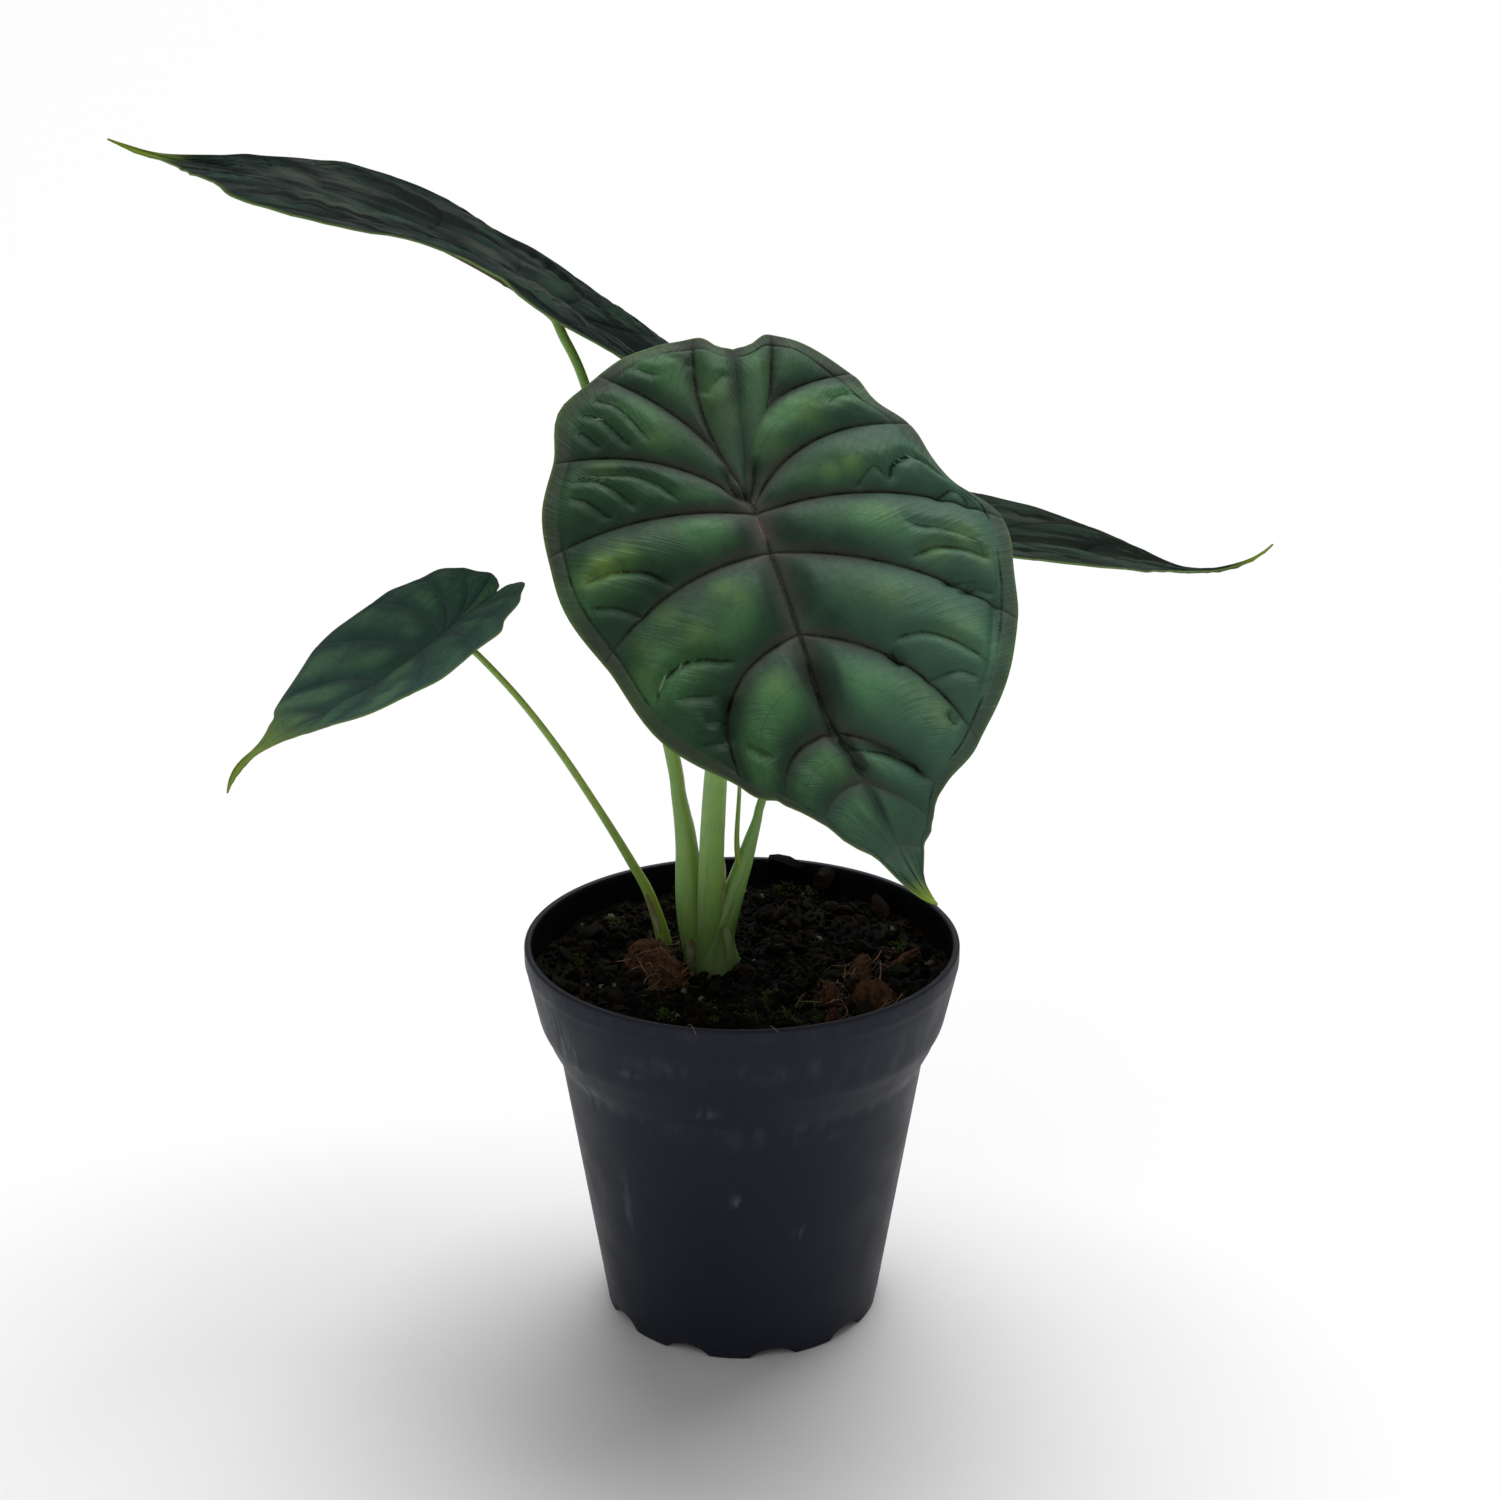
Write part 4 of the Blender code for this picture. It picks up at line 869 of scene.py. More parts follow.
def add_to_crown(grid, marks, flat):
    """Adds a grid of points that closes round, and its values, to the one mesh of the crown."""
    first = sum(len(points) for points in crown_points)
    crown_points.append(grid.reshape(-1, 3))
    crown_faces.append(grid_faces(grid.shape[0], grid.shape[1], True) + first)
    crown_marks.append(marks)
    crown_flat.append(flat)


for index, name in enumerate(LIP_TURNS):
    line, far = stem_line(name, 0.8 * MM)
    top_at = np.searchsorted(line[:, 2], SHEATH_TOP)
    line, far = line[:top_at + 1], far[:top_at + 1]
    rise = np.clip((line[:, 2, None] - line[0, 2]) / (SHEATH_TOP - line[0, 2]), 0, 1)
    lip_turn = LIP_TURNS[name] + 0.9 * rise
    apart = (stem_round - lip_turn + math.pi) % TURN - math.pi
    lip = LIP_HEIGHT * np.exp(-(apart / 0.14) ** 2) * (1 - rise) ** 0.5
    groove = -GROOVE_DEPTH * np.exp(-((apart - 0.3) / 0.16) ** 2) * (1 - rise) ** 0.5
    knobble = value_noise(np.cos(stem_round) * 1.5, np.sin(stem_round) * 1.5, far[:, None] / (4 * MM),
                          50 + index) - 0.5
    grid = tube(line[:, :3], line[:, 3, None] * (1 + 0.05 * knobble * (1 - rise)) + lip + groove)
    low = 1 - smooth_step(with_ends(line[:, 2, None]), 98 * MM, 108 * MM)
    marks, flat = stem_finish(far, *STEM_TINTS[name], 0.65 * low, 40 + index)
    marks[:, 2] = np.maximum(marks[:, 2], 0.45 * (with_ends(lip) / LIP_HEIGHT).ravel())
    add_to_crown(grid, marks, flat)

shoot_line, shoot_far = smooth_line([tuple(np.array(knot) * MM) for knot in SHOOT_KNOTS], 0.8 * MM)
marks, flat = stem_finish(shoot_far, 0.0, 0.9, 0.15, 47)
marks[:, 1] = 0.8
add_to_crown(tube(shoot_line[:, :3], shoot_line[:, 3:]), marks, flat)

across = np.linspace(-1, 1, 9)
taper = np.sin(np.linspace(0.12, math.pi * 0.93, STRIP_POINTS))[:, None] ** 0.6
edge_wave = 1 + 0.12 * np.sin(np.linspace(0, 9, STRIP_POINTS))[:, None]
for knots, half_width, dryness in STRIPS:
    middle = even_points(knots, STRIP_POINTS)
    wide = unit(np.cross(unit(np.gradient(middle, axis=0)), STRIP_FACES))
    sheet = (middle[:, None] + wide[:, None] * (across * half_width * MM * taper * edge_wave)[..., None]
             - STRIP_FACES * (across ** 2 * half_width * 0.45 * MM)[:, None])
    back = sheet - unit(STRIP_FACES) * STRIP_THICKNESS
    loop = np.concatenate([sheet, back[:, ::-1]], axis=1)
    loop = with_ends(loop)
    loop[[0, -1]] = loop[[0, -1]].mean(1, keepdims=True)
    size = loop.shape[0] * loop.shape[1]
    strip_flat = np.stack([np.full(size, 0.3), 0.1 + np.arange(size) / size], axis=1)
    add_to_crown(loop, np.tile([0.2, 0.2, dryness], (size, 1)), strip_flat)

corm_ball, corm_ball_faces = round_solid(3)
corm_lumps = value_noise(*(corm_ball.T * 2.5), 61)
corm_points = corm_ball * (CORM[3] * (0.92 + 0.12 * corm_lumps))[:, None] * MM + np.array(CORM[:3]) * MM
crown_faces.append(corm_ball_faces + sum(len(points) for points in crown_points))
crown_points.append(corm_points)
crown_marks.append(np.tile([0.1, 0.1, 0.8], (len(corm_points), 1)))
crown_flat.append(corm_ball[:, :2] * 0.1)
crown = new_piece("crown_of_leaf_bases", np.concatenate(crown_points), np.concatenate(crown_faces), flesh,
                  [("stem_marks", np.concatenate(crown_marks))], np.concatenate(crown_flat))
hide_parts("crown")
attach(crown, "root")


# Leaves: thick quilted blades. The skin bulges up between sunken veins that run from the hub and the
# midrib to a vein inside the margin. Underneath, the same veins stand out as ribs on paler skin.
# The drawn blade is 110 long, has its widest point 54 out, and counts in millimetres from the hub
DRAWN_LENGTH = 110.0
DRAWN_HALF = 54.0
VEIN_STARTS = [-2.3, -1.0, 0.5, 3.0, 14.5, 37.5, 64.0, 77.5, 94.0]
HUB_BACK = -3.5
# For each side of a blade, where its veins end on the margin: across, along, and how far each vein bows
FRONT_RIGHT = [(23.3, -48.1, -1.8), (38.1, -30.6, 11.5), (46.2, -12.0, 7.6), (57.8, 20.6, 6), (49.5, 48.5, 5),
               (27.9, 75.9, 6.8), (15.0, 84.7, 2.7), (10.9, 91.0, 1), (6.3, 96.2, 0)]
FRONT_LEFT = [(-4.5, -53.1, -4.2), (22.2, -48.3, 5), (41.0, -26.2, 6), (50.7, -0.9, 4), (47.8, 31.0, 5),
              (28.1, 71.0, 9.7), (20.3, 77.5, 5), (13.5, 84.5, 2.5), (5.0, 96.5, 0)]
UPPER_RIGHT = [(10.6, -50.4, 2), (32.3, -38.0, 8), (60.2, -17.7, 7.5), (52.3, 12.9, 5), (63.7, 44.7, 5),
               (37.0, 76.2, 7.5), (24.5, 88.0, 4), (12.4, 96.2, 1), (3.0, 102.4, 0)]
UPPER_LEFT = [(11.6, -49.1, 2), (32.2, -40.1, 8), (51.7, -13.6, 7.5), (38.6, 10.7, 5), (29.0, 31.7, 5),
              (29.6, 58.4, 7.5), (14.5, 83.2, 4), (9.5, 92.2, 1), (0.9, 101.2, 0)]
EVEN_LOBE = [(11, -50, 2), (31, -42, 8), (45, -20, 7.5), (54, 8, 5), (51, 40, 5)]
SMALL_SIDE = [*EVEN_LOBE, (27.5, 70.5, 6.5), (16.2, 79.5, 3), (9, 87.5, 0.5), (4.2, 96, -0.5)]
THIN_SIDE = [*EVEN_LOBE, (30, 70, 7), (17.5, 81, 3), (9, 88.5, 0.5), (3.2, 96, -0.5)]
# How far the margin bulges out between two veins, on the right and on the left
FRONT_SWELLS = ([-1.6, 0.8, -1.9, -4.1, -1.2, 0.9, -0.6, 0, 0.9, -1.0],
                [-1.4, 0.7, 3.0, 0.5, 0.7, 3.8, -1.3, -0.1, 1.2, 0.2])
SMALL_SWELLS = ([2.5, 3.3, 2.4, 5.0, 2.8, 3.6, 0.4, 0.3, 0, 2.0],
                [2.4, -2.2, 2.7, 1.0, 0.2, -0.9, 0.6, 0.3, 0, 1.3])
EVEN_SWELLS = ([1, 1.5, 1.5, 1.5, 2, 2, 0.5, 0.3, 0, 0], [1, 1.5, 1.5, 1.5, 2, 2, 0.5, 0.3, 0, 0])
MARGIN_THICKNESS = 0.55
EDGE_ROUND = 0.28 * MM
FLICK_START = 0.72
NECK_START, NECK_RUN = 84.0, 12.0
DRIP_START, DRIP_RUN = 94.0, 16.0
INNER_MARGIN = 0.93
PANEL_ROWS = [16, 40, 32, 46, 44, 52, 26, 14, 14, 22]
# The midrib on each drawing: along, and how far across it strays
FRONT_MIDRIB = [(-60, 0), (0, 0), (20, -1), (58, -3.5), (84, 0), (110, 1.1)]
UPPER_MIDRIB = [(-60, 0), (0, 0), (40, 1), (75, 1.2), (110, 1.5)]
PLAIN_MIDRIB = [(-60, 0), (0, 0), (40, 1), (75, 0), (110, -1)]
SMALL_MIDRIB = [(-60, 0), (0, 0), (40, 1), (75, 0), (110, -1.5)]
# Lengths are in millimetres and angles in degrees. lobe, neck and drip shorten the back lobes, narrow
# the blade before its tip and lengthen the tip. finer scales the rows, and lines sets how dark the painted
# crease shade is.
LEAVES = {
    "front": dict(length=110, half=55, bend=14, back=4, flick=-44.3, fold=4, skew=0, curl=-12, twist=0,
                  mirror=1, midrib=FRONT_MIDRIB, notch=(12.5, -46.4), right=FRONT_RIGHT, left=FRONT_LEFT,
                  swells=FRONT_SWELLS, lobe=1, neck=0.9, drip=5.1, quilt=3.4, thickness=1.0, columns=121,
                  finer=1.0, lines=1.0, wrinkles=0.5, gloss=0.10, streaks=0, yellow_from=103, seed=1),
    "upper_left": dict(length=130.9, half=62, bend=29.4, back=7.0, flick=-12.8, fold=12.6, skew=5.9,
                       curl=-16, twist=-19.4, mirror=1, midrib=UPPER_MIDRIB, notch=(0, -38),
                       right=UPPER_RIGHT, left=UPPER_LEFT, swells=EVEN_SWELLS, lobe=0.9, neck=0.95, drip=10,
                       quilt=1.0, thickness=0.9, columns=91, finer=0.8, lines=0.15, wrinkles=0.2, gloss=0.01,
                       streaks=0.9, yellow_from=98, seed=2),
    "right": dict(length=106.4, half=49.2, bend=7, back=6.1, flick=-32.8, fold=6.5, skew=2, curl=-2,
                  twist=2.7, mirror=-1, midrib=PLAIN_MIDRIB, notch=(0, -38), right=THIN_SIDE, left=THIN_SIDE,
                  swells=EVEN_SWELLS, lobe=0.85, neck=0.6, drip=10, quilt=1.1, thickness=0.9, columns=81,
                  finer=0.7, lines=0.15, wrinkles=0.15, gloss=0.01, streaks=0.8, yellow_from=104, seed=3),
    "lower_left": dict(length=68.3, half=33, bend=-16.5, back=1.7, flick=42, fold=12.3, skew=1.4, curl=-5.7,
                       twist=1.7, mirror=1, midrib=SMALL_MIDRIB,
                       notch=(4.9, -34.4), right=SMALL_SIDE, left=SMALL_SIDE, swells=SMALL_SWELLS, lobe=0.67,
                       neck=0.7, drip=7.2, quilt=0.7, thickness=0.8, columns=81, finer=0.7, lines=0.03,
                       wrinkles=0.06, gloss=0.12, streaks=0, yellow_from=62, seed=4),
}
# Side creases of the large leaf: points (across, along) on the drawn blade, and depth in millimetres
SIDE_CREASES = [
    ([(-32.9, -4.9), (-35.4, -8.6), (-38.0, -12.1), (-41.8, -14.7)], 0.8),
    ([(-26.6, -5.0), (-28.3, -9.2), (-30.7, -13.1), (-35.0, -16.9), (-40.2, -18.7)], 0.9),
    ([(-16.4, -3.6), (-18.0, -8.0), (-20.6, -12.3), (-24.8, -15.6), (-32.7, -18.1), (-38.6, -21.1)], 1.0),
    ([(-21.7, -22.7), (-24.3, -29.6), (-27.1, -34.6), (-31.8, -39.7)], 0.9),
    ([(-28.9, -25.5), (-31.4, -31.2), (-34.0, -35.6)], 0.7),
    ([(-17.3, -22.4), (-19.4, -30.9), (-22.4, -37.1), (-27.7, -42.9)], 0.8),
    ([(-8.0, -42.3), (-11.1, -45.2), (-14.3, -50.3)], 0.5),
    ([(1.4, -43.4), (-1.8, -47.4), (-4.9, -50.6)], 0.4),
    ([(-26.0, 18.4), (-28.1, 13.8), (-32.8, 10.6), (-39.8, 9.5), (-47.0, 10.8)], 1.3),
    ([(-34.3, 23.1), (-37.8, 19.8), (-43.1, 17.3), (-47.3, 16.1)], 0.8),
    ([(-17.9, 41.3), (-23.5, 38.9), (-30.4, 37.6), (-37.0, 40.5), (-40.7, 46.2)], 1.2),
    ([(-26.4, 47.8), (-32.5, 46.3), (-37.1, 46.2)], 0.6),
    ([(-25.3, 54.6), (-27.9, 53.7), (-32.5, 53.0)], 0.5),
    ([(-27.2, 59.2), (-32.8, 58.1), (-36.8, 57.8)], 0.6),
    ([(-24.5, 61.3), (-21.5, 63.7), (-19.1, 67.0)], 0.6),
    ([(26.9, -20.5), (30.8, -23.4), (35.0, -23.9), (38.7, -22.3), (40.6, -17.2)], 0.8),
    ([(32.3, 6.1), (34.4, 2.9), (36.7, 0.0), (41.8, -1.3), (46.0, 1.6), (49.1, 7.8)], 1.2),
    ([(42.4, 13.4), (44.7, 11.1), (48.3, 10.6), (50.4, 13.1), (50.5, 17.7)], 0.6),
    ([(24.2, 4.3), (28.6, 1.0), (31.9, 0.0), (33.4, 4.5)], 0.6),
    ([(29.6, 27.2), (33.5, 25.5), (37.6, 25.3), (42.0, 26.9), (46.2, 29.6), (49.6, 33.2)], 1.2),
    ([(31.7, 14.9), (33.9, 18.2), (39.2, 20.8), (44.5, 24.2), (49.3, 29.3)], 0.6),
    ([(34.3, 35.6), (38.3, 35.5), (44.3, 37.2)], 0.5),
    ([(37.0, 38.8), (42.7, 38.5), (47.6, 41.4)], 0.5),
    ([(16.0, 47.1), (20.4, 45.9), (24.9, 46.5), (29.7, 49.3), (33.8, 53.4), (37.2, 58.7)], 1.0),
    ([(20.3, 58.2), (25.1, 58.1), (30.3, 58.7), (34.6, 61.8)], 0.6),
    ([(-2.5, 69.0), (2.3, 70.6), (6.5, 72.5), (11.5, 77.0), (13.3, 82.7)], 0.8),
    ([(-2.5, 71.1), (0.2, 75.2)], 0.5),
    ([(-0.2, -33.8), (4.3, -37.2), (8.6, -39.9)], 0.4),
    ([(-2.3, -13.2), (-3.0, -7.0), (-2.1, -4.0), (-0.2, -2.8), (1.5, -4.1), (3.6, -8.1), (5.5, -13.0)], 0.9),
    ([(-2.3, 43.4), (-3.2, 52.4), (-3.7, 60.9), (-3.7, 68.2)], 1.1),
    ([(-2.8, 64.6), (-0.9, 68.6), (2.2, 70.7)], 0.9),
    ([(-22.6, 47.7), (-25.2, 51.7), (-27.0, 55.9), (-27.6, 60.4)], 1.0),
    ([(-24.3, 60.7), (-22.3, 63.2), (-21.2, 66.1)], 0.8),
    ([(16.4, 48.4), (17.0, 51.0), (17.6, 53.3)], 0.7),
    ([(22.9, 67.0), (23.7, 69.2), (24.6, 71.1)], 0.8),
    ([(46.8, 39.5), (45.3, 44.9), (41.3, 52.3), (38.0, 58.3), (34.3, 64.1), (29.3, 70.7)], 1.0),
]
# Brighter patches of the large leaf's skin, lighter green and painted highlight: across, along,
# radius and strength on the drawn blade
BRIGHT_AND_HIGHLIT_PATCHES = [
    (-39.8, 7.6, 5, 1.0), (-34.2, 6.0, 5, 0.7), (-16.3, 21.9, 4, 0.7), (-12.8, 25.9, 3, 0.7),
    (-30.9, 24.6, 5, 0.6), (-41.0, 37.7, 5, 0.5), (-37.9, 30.5, 5, 0.5), (-44.1, 9.7, 4, 0.8),
    (26.2, -2.2, 4, 0.7), (21.0, -2.2, 4, 0.6), (21.9, -21.3, 6, 0.6), (18.3, -35.8, 6, 0.5),
    (27.6, 13.7, 5, 0.6), (44.5, 24.2, 6, 0.7), (47.0, 30.8, 5, 0.6), (36.7, 26.7, 5, 0.7),
    (21.4, 35.5, 6, 0.5), (21.6, 67.1, 6, 0.7), (19.4, 59.8, 5, 0.6), (-12.9, 49.6, 5, 0.6),
    (-26.1, 31.8, 5, 0.6), (6.3, -24.9, 7, 0.8), (-16.2, -23.7, 5, 0.5), (-30.1, -20.3, 5, 0.5),
    (32.9, 48.7, 6, 0.5), (-5.5, 72.9, 5, 0.6), (2, -34, 6, 0.7), (10, -14, 5, 0.5)]
# Skin of each leaf: deep, middle and bright green, and the band beside its veins, which on the
# upper left and right leaves is near black as painted valley shade
SKIN_COLOURS = {
    "front": ((0.008, 0.020, 0.013), (0.021, 0.054, 0.029), (0.062, 0.170, 0.064), (0.044, 0.043, 0.032)),
    "upper_left": ((0.005, 0.012, 0.010), (0.012, 0.022, 0.018), (0.020, 0.040, 0.028),
                   (0.005, 0.011, 0.009)),
    "right": ((0.007, 0.014, 0.010), (0.014, 0.027, 0.018), (0.022, 0.044, 0.028), (0.008, 0.014, 0.010)),
    "lower_left": ((0.014, 0.050, 0.040), (0.030, 0.085, 0.062), (0.062, 0.145, 0.078),
                   (0.036, 0.064, 0.052)),
}
# Painted bluish sheen, painted shade, and the tip's own yellow-green
SHEEN_GREEN, SHADOW_GREEN, TIP_GREEN = (0.056, 0.122, 0.086), (0.012, 0.034, 0.013), (0.19, 0.28, 0.038)
# Painted grey sheen of the low-angle streaks, and the near-black painted shade of the creases
SHEEN_GREY_STREAK, CREASE_SHADE_LINE = (0.041, 0.048, 0.041), (0.003, 0.005, 0.0035)
# Painted highlight on the raised midrib by the hub, and pale specks
HUB_HIGHLIGHT, SPECK = (0.105, 0.088, 0.070), (0.35, 0.40, 0.36)
UNDER_GREENS = (0.085, 0.150, 0.070), (0.130, 0.205, 0.100)
UNDER_MIDRIB, UNDER_VEIN = (0.080, 0.045, 0.030), (0.085, 0.055, 0.036)
# Width of the near-black painted crease shade along veins, side creases and midrib, in millimetres
VEIN_LINE, SIDE_LINE, MIDRIB_LINE = 0.56, 0.60, 0.65


def leaf_skin(name, deep, middle, bright, band, leaf):
    """Waxy leaf skin. The mesh carries the distance in millimetres to the nearest vein, side crease and
    midrib and how deep each is, and thin ragged lines are pressed in there and painted near black as
    painted shade in the creases. The panels are greener, with painted highlight on their crests and in
    patches, and the skin beside the veins is duller, painted dark as valley shade on some leaves. The
    large leaf has a painted bluish sheen on its right half, painted shade on its left half, notch and tip,
    and a painted highlight on the raised midrib by the hub. The tip is yellow-green. The underside is
    pale with dull red veins. Fine wrinkles run slantwise over the panels. Leaves seen at a low angle show
    painted grey sheen and painted dark streaks, which fade where the skin is seen squarely: there the
    vein lines stand out."""
    skin = Look(name, deep, 0.45)
    flat = skin.place("UV")
    vein_at, side_at, midrib_at = skin.marks("crease_places")
    vein_deep, side_deep, midrib_deep = skin.marks("crease_depths")
    beside, glow, border = skin.marks("tone_marks")
    tip, under, wrinkled = skin.marks("end_marks")
    painted_sheen, shaded, raised = skin.marks("cast_marks")
    cloud = skin.noise(flat, 9, 4, 0.6)
    mottled = skin.noise(flat, 60, 5, 0.65)
    ragged = skin.ramp(skin.noise(flat, 130, 3, 0.6), 0.3, 0.7, -0.16, 0.16)
    gaps = skin.ramp(skin.noise(flat, 22, 3, 0.6), 0.40, 0.60, 0.35, 1.0)
    # Painted crease shade: a near-black ragged line along each vein, side crease and midrib
    creases = 0.0
    for at, depth, wide in ((vein_at, vein_deep, VEIN_LINE), (side_at, side_deep, SIDE_LINE),
                            (midrib_at, midrib_deep, MIDRIB_LINE)):
        apart = skin.plus(skin.maths("ABSOLUTE", at), ragged)
        line = skin.times(skin.ramp(apart, 0.04, wide, 1.0, 0.0), depth)
        creases = skin.maths("MAXIMUM", line, creases)
    tone = skin.blend(skin.ramp(cloud, 0.35, 0.68), deep, middle)
    # Lighter green and painted highlight on the panels' crests and in the large leaf's patches
    tone = skin.blend(glow, tone, bright)
    tone = skin.tint(tone, skin.ramp(mottled, 0.45, 0.75), 0.30, tuple(0.55 * value for value in deep))
    # Painted bluish sheen, then painted shade
    tone = skin.tint(tone, painted_sheen, 0.6, SHEEN_GREEN)
    tone = skin.tint(tone, shaded, 0.52, SHADOW_GREEN)
    # The duller band beside the veins: brown-grey tone, and painted valley shade where its colour is dark
    tone = skin.tint(tone, beside, 0.9, band)
    lines = leaf["lines"]
    if leaf["streaks"]:
        # Painted grey sheen and painted dark streaks, stronger where the skin is seen at a low angle
        low = skin.ramp(skin.node("ShaderNodeLayerWeight").outputs["Facing"], 0.35, 0.60)
        streaks = skin.ramp(skin.noise(flat, 1.0, 3, 0.5, (11, 2.4, 1)), 0.48, 0.62, 0.0, leaf["streaks"])
        tone = skin.tint(tone, streaks, low, SHEEN_GREY_STREAK)
        shaded_streaks = skin.ramp(skin.noise(flat, 1.3, 2, 0.5, (10, 1.8, 1)), 0.46, 0.58, 0.0, 0.95)
        tone = skin.tint(tone, shaded_streaks, low, tuple(0.45 * value for value in deep))
        lines = skin.ramp(low, 0.0, 1.0, 0.85, leaf["lines"])
    tone = skin.tint(tone, border, 0.45, band)
    # The creases are painted near black as painted shade
    tone = skin.tint(tone, skin.times(creases, gaps), lines, CREASE_SHADE_LINE)
    # Painted highlight on the raised midrib by the hub
    tone = skin.tint(tone, raised, 0.8, HUB_HIGHLIGHT)
    tone = skin.tint(tone, skin.ramp(skin.noise(flat, 300, 1), 0.80, 0.83), 0.4, SPECK)
    pale = skin.blend(skin.ramp(mottled, 0.3, 0.7), *UNDER_GREENS)
    pale = skin.blend(skin.ramp(skin.maths("ABSOLUTE", midrib_at), 0.6, 2.2, 0.8, 0.0), pale, UNDER_MIDRIB)
    pale = skin.blend(skin.ramp(skin.maths("ABSOLUTE", vein_at), 0.3, 1.0, 0.6, 0.0), pale, UNDER_VEIN)
    tone = skin.blend(tip, skin.blend(under, tone, pale), TIP_GREEN)
    skin.feed(Base_Color=tone, Roughness=skin.ramp(mottled, 0.3, 0.7, 0.48, 0.60),
              Specular_IOR_Level=leaf["gloss"])
    slant = skin.node("ShaderNodeAttribute", attribute_name="wrinkle_places").outputs["Vector"]
    coarse = skin.ramp(skin.noise(slant, 1.0, 2, 0.5, (0.62, 0.10, 1)), 0.35, 0.65)
    fine = skin.ramp(skin.noise(slant, 1.0, 2, 0.5, (1.7, 0.16, 1)), 0.35, 0.65)
    relief = skin.times(skin.plus(skin.times(coarse, 0.20), skin.times(fine, 0.06)), wrinkled)
    relief = skin.maths("SUBTRACT", relief, skin.times(creases, 0.16 * min(1, 2 * leaf["lines"])))
    skin.raise_by(skin.plus(relief, skin.times(skin.noise(flat, 330, 2), 0.035)), 0.001)
    return skin


def running_total(rate):
    """The sum of a rate up to each point, half of each neighbour for every step."""
    return np.concatenate([[0], np.cumsum((rate[1:] + rate[:-1]) / 2)])


def bent_blade(name, leaf, a, b, middle):
    """Places flat points (a across, b along, metres) on the bent blade. The midrib turns down by bend
    towards the tip and by flick in the last quarter. Each half leaves it at the angle fold, more on one
    side by skew, and turns by curl out to the margin. The whole section turns by twist from the hub on."""
    along, across, up = leaf_axes(name)
    length, half = leaf["length"] * MM, leaf["half"] * MM
    share = np.linspace(-0.7, 1.3, 401)
    bend = np.where(share > 0, leaf["bend"] * share, leaf["back"] * share)
    flick = leaf["flick"] * np.clip((share - FLICK_START) / (1 - FLICK_START), 0, None) ** 2
    slope = np.radians(bend + flick)
    step = (share[1] - share[0]) * length
    run, rise = running_total(np.cos(slope) * step), running_total(-np.sin(slope) * step)
    run -= np.interp(0, share, run)
    rise -= np.interp(0, share, rise)
    at = b / length
    tilt = np.interp(at, share, slope)
    turn = np.radians(leaf["twist"]) * np.maximum(at, 0)
    fold = np.radians(leaf["fold"] + leaf["skew"] * np.sign(a - middle))
    curl = math.radians(leaf["curl"])
    out = np.abs(a) / half
    side = half * (np.sin(fold + curl * out) - np.sin(fold)) / curl * np.sign(a)
    lift = -half * (np.cos(fold + curl * out) - np.cos(fold)) / curl
    lift += np.sin(fold) * (np.abs(a - middle) - np.abs(a))
    side, lift = side * np.cos(turn) - lift * np.sin(turn), side * np.sin(turn) + lift * np.cos(turn)
    local_up = np.sin(tilt)[..., None] * along + np.cos(tilt)[..., None] * up
    spine = np.interp(at, share, run)[..., None] * along + np.interp(at, share, rise)[..., None] * up
    return np.array(LEAF_SEATS[name][0]) * MM + spine + side[..., None] * across + lift[..., None] * local_up


